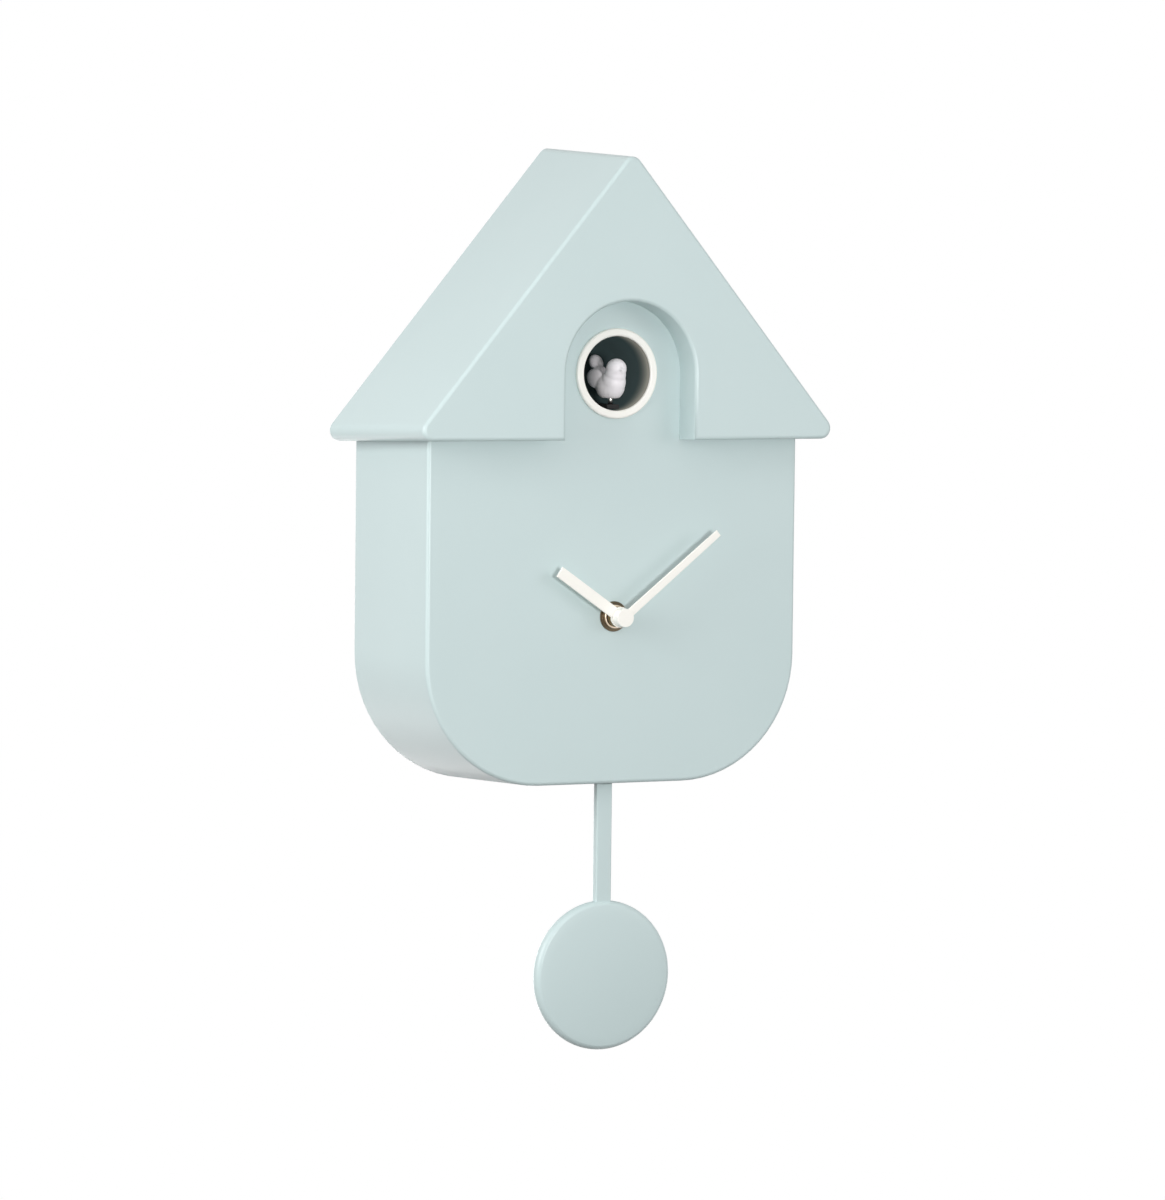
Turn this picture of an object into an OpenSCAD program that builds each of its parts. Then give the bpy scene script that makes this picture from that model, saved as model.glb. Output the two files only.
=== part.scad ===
// Wall cuckoo clock: gabled roof shell over a round-cornered house, a bird that slides out of a
// ringed tunnel, a quartz hand movement and a swinging pendulum.
// +X right, +Y into the wall, +Z up. The origin is the centre of the hanging keyhole, in the wall plane.

/* [Case] */
// Width across the roof at the wall
roof_w = 215.6; // [208:0.2:224]
// Depth from the wall to the roof's front face
case_d = 85; // [82:0.5:90]
// Pitch of the roof slopes, degrees
roof_pitch = 50; // [48:0.5:52]
// Radius of the three roof corners
roof_corner_r = 4.8; // [4:0.1:6]
// How far each side widens from the front to the wall, so that the shells leave their moulds
draft = 2.7; // [2:0.1:3]
// Wall thickness of the two shells
wall = 2.4; // [2:0.1:3]
// Height of the keyhole above the roof's lower edge
keyhole_h = 77.4; // [74:0.2:82]
// Width of the house at the wall
body_w = 189.4; // [184:0.2:194]
// Height of the house that shows below the roof
body_h = 153.7; // [150:0.2:158]
// Radius of the house's lower corners at the wall
body_corner_r = 58.6; // [54:0.2:62]
// How far the house front stands behind the roof front
setback = 15.2; // [14:0.1:17]
// Height of the house wall that reaches up inside the roof
tongue = 13; // [11:0.5:14]
// Gap left between two mouldings that fit together
fit_gap = 0.25; // [0.15:0.05:0.4]
// Radius of the arch in the roof front
arch_r = 32.3; // [31:0.1:34]
// Radius of the screw posts
post_r = 4; // [3.6:0.1:4.4]
// Width of the slot in the floor that the pendulum rod swings in
rod_slot_w = 20.4; // [19.5:0.2:24]

/* [Back cover] */
// Thickness of the back cover
cover_t = 3; // [2.6:0.1:3.4]
// Radius of the keyhole's round entry
keyhole_r = 4.5; // [4:0.1:5]
// Radius of the slot above it, where the wall screw's shank rests
keyhole_slot_r = 2.2; // [1.8:0.1:2.6]
// Height of that slot above the origin
keyhole_slot_h = 9; // [7:0.5:11]
// Radius of a cell
cell_r = 7.25; // [7:0.05:7.4]
// Length of a cell
cell_l = 50.5; // [49:0.1:51]
// Length of a contact spring when a cell presses it
spring_l = 4; // [3.6:0.1:5]
// Wall of the battery box
box_wall = 1.6; // [1.2:0.1:2]
// Thickness of the battery door
door_t = 1.8; // [1.5:0.1:2]
// Distance from the house's side at the wall to the battery box's middle
box_in = 38.7; // [36:0.1:40]
// Height of the battery box's middle above the hand shaft
box_up = 2; // [-4:0.5:6]

/* [Bird] */
// Height of the bird's ring above the roof's front lower edge
ring_up = 29.2; // [28:0.1:31]
// Outer radius of the ring
ring_r = 20.2; // [19:0.1:21]
// Inner radius of the ring
ring_in_r = 16.6; // [16.2:0.1:17]
// How far the ring stands proud of the house front
ring_proud = 1.7; // [1.2:0.1:2.4]
// Inner radius of the tunnel
tunnel_r = 16.8; // [16.8:0.05:17]
// Wall of the tunnel
tunnel_wall = 2.2; // [2:0.1:2.4]
// Length of the tunnel behind the house front
tunnel_l = 29.4; // [28.5:0.1:30]
// How far the bird travels out of the tunnel
bird_travel = 22; // [18:0.5:23]
// Distance of the bird's wire stem behind the house front
stem_back = 5.3; // [4.5:0.1:6]
// Radius of the wire stem
stem_r = 1; // [0.8:0.05:1.2]
// Width of the carriage and its rack
rack_w = 6; // [5:0.2:6.6]
// Module of the rack and its pinion
rack_m = 0.8; // [0.8:0.05:0.8]
// Teeth on the rack pinion
rack_teeth = 12; // [12:1:12]
// Radius of the bird motor
bird_motor_r = 7.5; // [6.5:0.1:8]
// Length of the bird motor
bird_motor_l = 18; // [15:0.5:22]

/* [Hands and movement] */
// Height of the hand shaft above the house floor
hub_up = 74.9; // [72:0.1:78]
// Side of the movement case
movement_w = 56; // [55:0.5:60]
// Wall of the movement case
movement_wall = 1.5; // [1.2:0.1:1.8]
// Spacing of the wheel layers
layer = 2; // [1.9:0.05:2.2]
// Thickness of a wheel
wheel_t = 1.3; // [1:0.05:1.4]
// Thickness of the rubber gasket
gasket_t = 1; // [0.8:0.1:1.4]
// Radius of the threaded bush
bush_r = 4; // [3.8:0.05:4.2]
// How far the bush stands out of the house front
bush_out = 3; // [2.8:0.1:3.2]
// Radius of the brass washer
washer_r = 6.8; // [6:0.1:8]
// Thickness of the brass washer
washer_t = 0.6; // [0.4:0.05:0.8]
// Radius of the brass nut
nut_r = 5.25; // [5.1:0.05:5.6]
// Thickness of the brass nut
nut_t = 1.9; // [1.6:0.1:2]
// Radius of the minute arbor
arbor_r = 1.7; // [1.5:0.05:1.74]
// Outer radius of the hour pipe
pipe_r = 2.6; // [2.4:0.05:2.8]
// Radial clearance of shafts in their holes
run_gap = 0.05; // [0.02:0.01:0.08]
// Length of the hour hand from the shaft
hour_l = 37; // [30:0.5:42]
// Width of the hour hand
hour_w = 5.2; // [4.4:0.1:6]
// Length of the minute hand from the shaft
minute_l = 60; // [50:0.5:64]
// Width of the minute hand at its tip
minute_w = 3.2; // [2.6:0.1:4]
// Radius of the minute hand's hub and cap
cap_r = 4.1; // [3.8:0.05:4.6]
// Thickness of the hands
hand_t = 1; // [0.8:0.05:1.2]
// Hour that the hands show
shown_hour = 10; // [0:1:11]
// Minute that the hands show
shown_minute = 8.6; // [0:0.1:59.9]

/* [Pendulum] */
// Height of the pendulum's pivot above the house floor
pivot_up = 36.8; // [35:0.2:40]
// Length from the pivot to the disc's centre
pendulum_l = 123.7; // [115:0.5:135]
// Width of the rod
rod_w = 7.8; // [6.6:0.1:8]
// Thickness of the rod
rod_t = 3.6; // [3.2:0.1:4]
// Distance of the rod's middle plane behind the house front
rod_back = 8.2; // [8:0.1:8.6]
// Radius of the disc
disc_r = 33.7; // [30:0.1:36]
// Thickness of the disc's round edge
disc_t = 6.6; // [6.4:0.1:8]
// How much further the disc's face swells in its middle
disc_dome = 1.3; // [0.8:0.1:1.6]
// Radius of the pivot pin
pin_r = 1; // [0.8:0.05:1.2]

/* [Electronics] */
// Radius of the loudspeaker
speaker_r = 28.5; // [26:0.1:29]
// Distance from the house's side at the wall to the loudspeaker's middle
speaker_in = 37.7; // [36.5:0.1:40]
// Height of the circuit board's middle above the house floor
board_up = 23.9; // [22:0.1:26]
// Width of the circuit board
board_w = 56; // [52:1:60]
// Height of the circuit board
board_h = 30; // [28:0.5:32]
// Thickness of the circuit board
board_t = 1.6; // [1.2:0.1:2]

/* [Hidden] */
$fn = 64;

// Overshoot of a cut past the face that it opens
over = 1;
// Thin slab that a drafted form is drawn between
skin = 0.01;
// Plain clearance of a screw in its hole, and the screws' own sizes
screw_r = 1.4;
screw_gap = 0.2;
screw_head_r = 2.8;
screw_head_t = 1.8;
screw_l = 9;
short_screw_l = 7;
screw_recess = [0.7, 1.6, 3.2];
small_screw_r = 0.9;
small_screw_gap = 0.15;
small_head_r = 1.7;
small_head_t = 1.1;
small_screw_l = 5;
small_recess_w = 0.5;
small_recess_l = 2;
pilot_gap = 0.02;
// Radial gap of a part pressed on a shaft
press_gap = 0.01;

plastic = [0.77, 0.84, 0.84];
ivory = [0.99, 0.98, 0.95];
dark = [0.10, 0.13, 0.13];
black = [0.08, 0.08, 0.09];
steel = [0.72, 0.73, 0.75];
brass = [0.80, 0.66, 0.36];
copper = [0.70, 0.38, 0.18];
sleeve = [0.25, 0.30, 0.34];
laminate = [0.16, 0.42, 0.26];
clear = [0.75, 0.78, 0.80];

// Depths of the main planes
front_y = -case_d;
face_y = -(case_d - setback);
inner_y = face_y + wall;
cover_y = -cover_t;

// How far the outline at depth y has drawn in from its size at the wall
function drawn_in(y) = draft * -y / case_d;
half_pitch = roof_pitch / 2;
// The roof as a triangle inset by i from its outline at the wall
function roof_half(i) = roof_w / 2 + roof_corner_r * (1 / tan(half_pitch) - 1) - i / tan(half_pitch);
function roof_floor(i) = -keyhole_h + i;
// The house inset by i from its outline at the wall
function body_half(i) = body_w / 2 - i;
function body_floor(i) = -(keyhole_h + body_h) + i;

front_eave = roof_floor(draft);
ring_z = front_eave + ring_up;
floor_z = body_floor(drawn_in(face_y));
hub_z = floor_z + hub_up;
pivot_z = floor_z + pivot_up;
disc_z = pivot_z - pendulum_l;
tongue_z = front_eave + tongue;
rod_y = face_y + rod_back;

// Points on an arc of radius r about c, from angle a to angle b
function arc(c, r, a, b, n = 8) =
    [for (k = [0:n]) c + r * [cos(a + (b - a) * k / n), sin(a + (b - a) * k / n)]];

function roof_points(i, r) = concat(
    arc([roof_half(i) - r / tan(half_pitch), roof_floor(i) + r], r, -90, 90 - roof_pitch),
    arc([0, roof_floor(i) + roof_half(i) * tan(roof_pitch) - r / cos(roof_pitch)], r,
        90 - roof_pitch, 90 + roof_pitch),
    arc([-roof_half(i) + r / tan(half_pitch), roof_floor(i) + r], r, 90 + roof_pitch, 270)
);
function body_points(i, top) = concat(
    [[-body_half(i), top]],
    arc([-body_half(i) + body_corner_r - i, body_floor(i) + body_corner_r - i], body_corner_r - i,
        180, 270, 16),
    arc([body_half(i) - body_corner_r + i, body_floor(i) + body_corner_r - i], body_corner_r - i,
        270, 360, 16),
    [[body_half(i), top]]
);

// Extrudes an outline of x and z from depth y0 to the deeper y1
module upright(y0, y1) {
    translate([0, y1, 0]) rotate([90, 0, 0]) linear_extrude(y1 - y0) children();
}
// A rod along y from y0 to y1 at x and z
module along_y(x, z, y0, y1, r) {
    translate([x, y1, z]) rotate([90, 0, 0]) cylinder(h = y1 - y0, r = r);
}
// A rod along x from x0 to x1 at y and z
module along_x(y, z, x0, x1, r) {
    translate([x0, y, z]) rotate([0, 90, 0]) cylinder(h = x1 - x0, r = r);
}
// A box between two corners
module block(low, high) {
    translate(low) cube(high - low);
}
// A drafted form between its outline at y0 and its outline at y1
module drafted(y0, points0, y1, points1) {
    hull() {
        upright(y0, y0 + skin) polygon(points0);
        upright(y1 - skin, y1) polygon(points1);
    }
}
// A pan-head screw along y whose head faces side = +1 (wall) or -1 (front), with its seat at y
module screw_y(x, z, y, side, length = screw_l) {
    tip = y - side * length;
    head = y + side * screw_head_t;
    difference() {
        union() {
            along_y(x, z, min(y, tip), max(y, tip), screw_r);
            along_y(x, z, min(y, head), max(y, head), screw_head_r);
        }
        for (a = [0, 90]) translate([x, head, z]) rotate([0, a, 0]) cube(screw_recess, center = true);
    }
}
// A small screw along z whose head lies below its seat at z
module small_screw_z(x, y, z, length = small_screw_l) {
    translate([x, y, z]) cylinder(h = length, r = small_screw_r);
    difference() {
        translate([x, y, z - small_head_t]) cylinder(h = small_head_t, r = small_head_r);
        for (a = [0, 90]) translate([x, y, z - small_head_t]) rotate(a)
            cube([small_recess_w, small_recess_l, small_head_t], center = true);
    }
}

// Gear teeth: addendum and dedendum in modules, play as a share of the tooth, and the tip's share
addendum = 0.8;
dedendum = 1.1;
tooth_play = 0.16;
tip_share = 0.4;
function pitch_r(teeth, m) = teeth * m / 2;
function tooth(teeth, m, at) =
    let (r = pitch_r(teeth, m), h = 90 / teeth * (1 - tooth_play), foot = teeth < 14 ? h : 1.3 * h)
    [for (p = [[r - dedendum * m, -foot], [r, -h], [r + addendum * m, -h * tip_share],
               [r + addendum * m, h * tip_share], [r, h], [r - dedendum * m, foot]])
        p[0] * [cos(at + p[1]), sin(at + p[1])]];
module gear_outline(teeth, m, phase) {
    polygon([for (k = [0:teeth - 1]) each tooth(teeth, m, phase + 360 * k / teeth)]);
}
// Phase of a gear of nb teeth that meshes with one of na teeth at phase pa, in direction dir from it
function in_mesh(pa, na, nb, dir) = dir + 180 + (dir - pa) * na / nb + 180 / nb;

// ---- Case ----

apex_post = let (i = draft + wall + post_r - over) [0, roof_floor(i) + roof_half(i) * tan(roof_pitch)];
eave_post_z = tongue_z + post_r + over;
eave_post_x = let (i = draft + wall + post_r - over)
    roof_half(i) - (eave_post_z - roof_floor(i)) / tan(roof_pitch);
roof_posts = [apex_post, [eave_post_x, eave_post_z], [-eave_post_x, eave_post_z]];
low_post_z = floor_z + wall + post_r - over;
low_post_x = 38;
side_post_x = body_half(drawn_in(face_y)) - wall - post_r + over;
side_post_z = hub_z + 45;
body_posts = [[low_post_x, low_post_z], [-low_post_x, low_post_z],
              [side_post_x, side_post_z], [-side_post_x, side_post_z]];
pilot_l = screw_l;
// Bosses on the roof front that the house's tongue is screwed to
roof_boss_x = 58;
roof_boss_z = (front_eave + wall + tongue_z) / 2;
roof_boss_r = 3.5;

// The arch: a round head on straight sides that run down to z = low
module arch_outline(r, low) {
    intersection() {
        union() {
            translate([0, ring_z]) circle(r);
            translate([-r, ring_z - 2 * r]) square(2 * r);
        }
        translate([-2 * r, low]) square(4 * r);
    }
}

module roof_shell() {
    inner_r = roof_corner_r - wall;
    color(plastic) difference() {
        union() {
            difference() {
                drafted(front_y, roof_points(draft, roof_corner_r), 0, roof_points(0, roof_corner_r));
                drafted(front_y + wall, roof_points(drawn_in(front_y + wall) + wall, inner_r),
                        over, roof_points(drawn_in(over) + wall, inner_r));
            }
            upright(front_y + wall / 2, face_y) arch_outline(arch_r + wall, front_eave + wall / 2);
            for (p = roof_posts) along_y(p[0], p[1], front_y + wall / 2, cover_y, post_r);
            for (s = [-1, 1]) along_y(s * roof_boss_x, roof_boss_z, front_y + wall / 2, face_y, roof_boss_r);
        }
        upright(front_y - over, face_y + over) arch_outline(arch_r, -keyhole_h - over);
        translate([0, 0, -keyhole_h - over]) linear_extrude(front_eave + wall + keyhole_h + over) polygon([
            [-body_half(drawn_in(face_y)) - fit_gap, face_y - fit_gap],
            [body_half(drawn_in(face_y)) + fit_gap, face_y - fit_gap],
            [body_half(0) + fit_gap, over], [-body_half(0) - fit_gap, over]
        ]);
        for (p = roof_posts)
            along_y(p[0], p[1], cover_y - pilot_l, cover_y + over, screw_r + pilot_gap);
        for (s = [-1, 1])
            along_y(s * roof_boss_x, roof_boss_z, face_y - screw_l, face_y + over, screw_r + pilot_gap);
    }
}

// The tab behind the arch reaches past the arch's own wall by its lap
tab_lap = 2;
tab_r = arch_r + wall + tab_lap;
tunnel_out_r = tunnel_r + tunnel_wall;
collar_r = ring_r + 0.3;
spigot_r = ring_in_r + 1.8;
ear_r = 3.5;
ear_post_r = 3;
ear_at = collar_r + ear_r;
ear_h = 6;
ear_t = 2;
ear_angles = [90, 200, 340];
function ear(a) = [ear_at * cos(a), ring_z + ear_at * sin(a)];
bracket_post_x = 25;
bracket_post_r = 3.5;
bracket_y = rod_y + rod_t / 2 + 2.3;
sensor_r = 2.5;
sensor_at = [27, rod_y + 22];
sensor_flange_r = 3.5;
sensor_flange_t = 1.2;
sensor_h = 7;
rod_slot_play = 1.4;

module body_shell() {
    color(plastic) difference() {
        union() {
            difference() {
                drafted(face_y, body_points(drawn_in(face_y), tongue_z), 0, body_points(0, tongue_z));
                drafted(inner_y, body_points(drawn_in(inner_y) + wall, tongue_z + over),
                        over, body_points(drawn_in(over) + wall, tongue_z + over));
            }
            upright(face_y, inner_y) arch_outline(tab_r, front_eave);
            for (p = body_posts) along_y(p[0], p[1], face_y + wall / 2, cover_y, post_r);
            for (a = ear_angles)
                along_y(ear(a)[0], ear(a)[1], face_y + wall / 2, inner_y + ear_h, ear_post_r);
            for (s = [-1, 1])
                along_y(s * bracket_post_x, pivot_z, face_y + wall / 2, bracket_y, bracket_post_r);
        }
        block([-body_w, cover_y - fit_gap, roof_floor(wall)], [body_w, over, tongue_z + over]);
        along_y(0, ring_z, face_y - over, inner_y + over, spigot_r + fit_gap / 2);
        along_y(0, hub_z, face_y - over, inner_y + over, bush_r + fit_gap);
        block([-rod_slot_w / 2, rod_y - rod_t / 2 - rod_slot_play, floor_z - wall],
              [rod_slot_w / 2, rod_y + rod_t / 2 + rod_slot_play, floor_z + 2 * wall]);
        translate([sensor_at[0], sensor_at[1], floor_z - 2 * wall])
            cylinder(h = 5 * wall, r = sensor_r + run_gap);
        for (p = body_posts)
            along_y(p[0], p[1], cover_y - pilot_l, cover_y + over, screw_r + pilot_gap);
        for (s = [-1, 1]) {
            along_y(s * roof_boss_x, roof_boss_z, face_y - over, inner_y + over, screw_r + screw_gap);
            along_y(s * bracket_post_x, pivot_z, bracket_y - short_screw_l, bracket_y + over,
                    screw_r + pilot_gap);
        }
        for (a = ear_angles)
            along_y(ear(a)[0], ear(a)[1], inner_y + ear_h + ear_t - short_screw_l - 0.5,
                    inner_y + ear_h + over, screw_r + pilot_gap);
    }
}

// Battery box, to the right as seen from the wall side of the clock
box_x = body_half(box_in);
cell_gap = 0.3;
contact_t = 0.5;
box_inner_w = cell_l + spring_l + contact_t;
box_inner_h = 3 * (2 * cell_r + cell_gap) + cell_gap;
box_inner_d = 2 * (cell_r + cell_gap);
box_z = hub_z + box_up;
box_y = -door_t - box_inner_d;
door_lip = 2;
door_play = 0.15;
door_pin_r = 0.5;
door_pin_l = 1.4;
door_pin_play = 0.2;
door_edge_r = (door_t - door_play) / 2;
notch_r = 6;
notch_d = 0.8;
door_axis_y = -door_edge_r;
door_axis_z = box_z - box_inner_h / 2 - door_lip + door_play + door_edge_r;
cell_y = -door_t - cell_gap - cell_r;
function cell_z(k) = box_z + (k - 1) * (2 * cell_r + cell_gap);

knob_r = 7;
knob_gap = 1;
set_x = let (d = pitch_r(10, 0.45) + pitch_r(30, 0.45) + pitch_r(30, 0.45) + pitch_r(15, 0.45)) d * cos(45);
board_z = floor_z + board_up;
board_post_l = 6;
board_y = cover_y - board_post_l;
board_post_r = 2.5;
// Places of the board's four screws, in from its corners
board_screw_in = 4;
board_screws = [for (s = [-1, 1], t = [-1, 1])
    [s * (board_w / 2 - board_screw_in), board_z + t * (board_h / 2 - board_screw_in)]];
slider_x = -16;
slider_travel = 3;
slider_cap_w = 4;
slider_cap_h = 3.8;
slider_play = 0.4;
slider_reach = slider_cap_w / 2 + slider_travel + slider_play;
button_x = 14;
button_r = 3;
button_play = 0.3;
speaker_x = body_half(speaker_in);
speaker_z = hub_z + 4;
speaker_boss_angles = [30, 150, 270];
speaker_flange_t = 1.2;
speaker_seat_t = 1.8;
speaker_boss_at = speaker_r + 3.3;
speaker_boss_r = 3;
speaker_lip_w = 2.5;
speaker_mouth = speaker_r - 3.5;
speaker_pilot_end = cover_y + 2.2;
grille_hole_r = 1.5;
grille_step = 5.6;

module cover_outline() {
    polygon(roof_points(wall + fit_gap, roof_corner_r - wall));
    polygon(body_points(wall + fit_gap, roof_floor(wall + fit_gap + over)));
}

module back_cover() {
    color(plastic) difference() {
        union() {
            upright(cover_y, 0) cover_outline();
            block([-box_x - box_inner_w / 2 - box_wall, box_y - box_wall, box_z - box_inner_h / 2 - box_wall],
                  [-box_x + box_inner_w / 2 + box_wall, cover_y + skin, box_z + box_inner_h / 2 + box_wall]);
            for (a = speaker_boss_angles)
                along_y(speaker_x + speaker_boss_at * cos(a), speaker_z + speaker_boss_at * sin(a),
                        cover_y - speaker_seat_t, cover_y + skin, speaker_boss_r);
            difference() {
                along_y(speaker_x, speaker_z, cover_y - speaker_seat_t, cover_y + skin, speaker_r);
                along_y(speaker_x, speaker_z, cover_y - speaker_seat_t - over, cover_y,
                        speaker_r - speaker_lip_w);
            }
            for (p = board_screws) along_y(p[0], p[1], board_y, cover_y + skin, board_post_r);
        }
        along_y(0, 0, cover_y - over, over, keyhole_r);
        upright(cover_y - over, over) hull()
            for (z = [0, keyhole_slot_h]) translate([0, z]) circle(keyhole_slot_r);
        block([-box_x - box_inner_w / 2, box_y, box_z - box_inner_h / 2],
              [-box_x + box_inner_w / 2, over, box_z + box_inner_h / 2]);
        block([-box_x - box_inner_w / 2 - door_lip, -door_t, box_z - box_inner_h / 2 - door_lip],
              [-box_x + box_inner_w / 2 + door_lip, over, box_z + box_inner_h / 2 + door_lip]);
        along_x(door_axis_y, door_axis_z, -box_x - box_inner_w / 2 - door_lip - door_pin_l,
                -box_x + box_inner_w / 2 + door_lip + door_pin_l, door_pin_r + run_gap);
        along_y(set_x, hub_z - set_x, cover_y - over, over, knob_r + knob_gap);
        block([slider_x - slider_reach, cover_y - over, board_z - slider_cap_h / 2 - slider_play],
              [slider_x + slider_reach, over, board_z + slider_cap_h / 2 + slider_play]);
        along_y(button_x, board_z, cover_y - over, over, button_r + button_play);
        for (ring = [0:4], k = [0:max(0, 6 * ring - 1)])
            let (a = ring == 0 ? 0 : k * 60 / ring, r = ring * grille_step)
            along_y(speaker_x + r * cos(a), speaker_z + r * sin(a), cover_y - over, over, grille_hole_r);
        for (p = concat(roof_posts, body_posts)) {
            along_y(p[0], p[1], cover_y - over, over, screw_r + screw_gap);
            along_y(p[0], p[1], -screw_head_t, over, screw_head_r + screw_gap);
        }
        for (a = speaker_boss_angles)
            along_y(speaker_x + speaker_boss_at * cos(a), speaker_z + speaker_boss_at * sin(a),
                    cover_y - speaker_seat_t - over, speaker_pilot_end, small_screw_r + pilot_gap);
        for (p = board_screws) along_y(p[0], p[1], board_y - over, cover_y, small_screw_r + pilot_gap);
    }
}

module battery_door() {
    play = door_lip - door_play;
    pins = play + door_play + door_pin_l - door_pin_play;
    color(plastic) difference() {
        union() {
            block([-box_x - box_inner_w / 2 - play, -door_t + door_play, door_axis_z],
                  [-box_x + box_inner_w / 2 + play, 0, box_z + box_inner_h / 2 + play]);
            along_x(door_axis_y, door_axis_z, -box_x - box_inner_w / 2 - play,
                    -box_x + box_inner_w / 2 + play, door_edge_r);
            along_x(door_axis_y, door_axis_z, -box_x - box_inner_w / 2 - pins,
                    -box_x + box_inner_w / 2 + pins, door_pin_r);
        }
        // finger notch at the top edge
        translate([-box_x, 0, box_z + box_inner_h / 2 + play]) rotate([90, 0, 0])
            cylinder(h = 2 * notch_d, r = notch_r, center = true);
    }
}

// The end of cell k that its spring presses, and the way its button points
function cell_way(k) = k % 2 == 0 ? 1 : -1;
function cell_foot(k) = -box_x - cell_way(k) * (box_inner_w / 2 - spring_l);
// A length of rod along x from a to b, whichever is further right
module span_x(y, z, a, b, r) {
    along_x(y, z, min(a, b), max(a, b), r);
}
cell_tip_l = 1;
cell_tip_r = 2.7;
module cells() {
    color(sleeve) for (k = [0:2]) let (s = cell_way(k), foot = cell_foot(k)) {
        span_x(cell_y, cell_z(k), foot, foot + s * (cell_l - cell_tip_l), cell_r);
        span_x(cell_y, cell_z(k), foot + s * (cell_l - cell_tip_l - skin), foot + s * cell_l, cell_tip_r);
    }
}

// A coiled spring for one end of each cell and a plate for the other
module cell_contacts() {
    turns = 5;
    wire_r = 0.42;
    foot_r = 4.4;
    step_in = 0.5;
    plate = 10;
    sink = 0.05;
    pitch = (spring_l - contact_t - 2 * wire_r) / (turns - 1);
    color(steel) for (k = [0:2]) let (s = cell_way(k), far = cell_foot(k) - s * spring_l) {
        for (x = [far, far + s * (box_inner_w - contact_t)])
            translate([x + s * contact_t / 2, cell_y, cell_z(k)])
                cube([contact_t, plate, plate], center = true);
        for (n = [0:turns - 1])
            translate([far + s * (contact_t + wire_r - sink + n * pitch), cell_y, cell_z(k)])
                rotate([0, 90, 0]) rotate_extrude()
                    translate([foot_r - step_in * n, 0]) circle(r = wire_r, $fn = 16);
    }
}

module case_screws() {
    color(steel) {
        for (p = concat(roof_posts, body_posts)) screw_y(p[0], p[1], -screw_head_t, 1);
        for (s = [-1, 1]) screw_y(s * roof_boss_x, roof_boss_z, inner_y, 1);
    }
}

// ---- Bird and its drive ----

// The ring's lip is thin, and its spigot goes round the tunnel's nose, which shows right up to the lip
spigot_l = 3;
spigot_t = 0.75;
spigot_in_r = spigot_r - spigot_t;
nose_r = spigot_in_r - fit_gap / 2;
lip_t = 1.1;
lip_y = face_y - ring_proud + lip_t;
ring_edge = 0.5;
module bezel_ring() {
    color(ivory) translate([0, 0, ring_z]) rotate([90, 0, 0]) rotate_extrude() polygon([
        [spigot_in_r, -face_y - wall - spigot_l], [spigot_r, -face_y - wall - spigot_l], [spigot_r, -face_y],
        [ring_r, -face_y], [ring_r, -face_y + ring_proud - ring_edge],
        [ring_r - ring_edge, -face_y + ring_proud], [ring_in_r + ring_edge, -face_y + ring_proud],
        [ring_in_r, -face_y + ring_proud - ring_edge],
        [ring_in_r, -lip_y], [spigot_in_r, -lip_y]
    ]);
}

tunnel_back = face_y + tunnel_l;
arm_t = 2;
arm_low = ring_z - ring_in_r + 0.7;
arm_gap = 0.4;
arm_top = arm_low + arm_t;
foot_z = ring_z - tunnel_out_r - 0.5;
foot_w = 24;
foot_y0 = face_y + 8;
foot_y1 = tunnel_back + tunnel_wall;
module bird_tunnel() {
    color(dark) difference() {
        union() {
            along_y(0, ring_z, inner_y, tunnel_back + tunnel_wall, tunnel_out_r);
            along_y(0, ring_z, inner_y, inner_y + spigot_l + 1, collar_r);
            along_y(0, ring_z, lip_y + 0.1, inner_y + spigot_l + 1, nose_r);
            block([-foot_w / 2, foot_y0, foot_z], [foot_w / 2, foot_y1, ring_z - 0.8 * tunnel_r]);
            for (a = ear_angles) {
                along_y(ear(a)[0], ear(a)[1], inner_y + ear_h, inner_y + ear_h + ear_t, ear_r);
                translate([0, 0, ring_z]) rotate([0, -a, 0])
                    block([tunnel_r + 0.5, inner_y + ear_h, 0.3 - ear_r],
                          [ear_at, inner_y + ear_h + ear_t, ear_r - 0.3]);
            }
        }
        along_y(0, ring_z, face_y - ring_proud, tunnel_back, tunnel_r);
        difference() {
            along_y(0, ring_z, inner_y - over, inner_y + spigot_l + fit_gap, spigot_r + fit_gap / 2);
            along_y(0, ring_z, face_y - ring_proud, inner_y + spigot_l + 1, nose_r);
        }
        block([-rack_w / 2 - arm_gap, tunnel_back - over, arm_low - 0.3],
              [rack_w / 2 + arm_gap, tunnel_back + tunnel_wall + over, arm_top + arm_gap]);
        for (a = ear_angles)
            along_y(ear(a)[0], ear(a)[1], inner_y + ear_h - over, inner_y + ear_h + ear_t + over,
                    screw_r + screw_gap);
        for (s = [-1, 1], y = frame_screw_y)
            translate([s * frame_screw_x, y, foot_z - over])
                cylinder(h = small_screw_l, r = small_screw_r + pilot_gap);
        // flat under the collar that the carriage's front end passes
        block([-foot_w / 2, inner_y - over, ring_z - collar_r - over], [foot_w / 2, foot_y0, foot_z]);
    }
}

stem_y = face_y + stem_back;
stem_shown = 2.7;
bird_low = arm_top + stem_shown;
// How far the stem stands in the carriage and in the bird
stem_seat = 1.2;
stem_in = 3;
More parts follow.
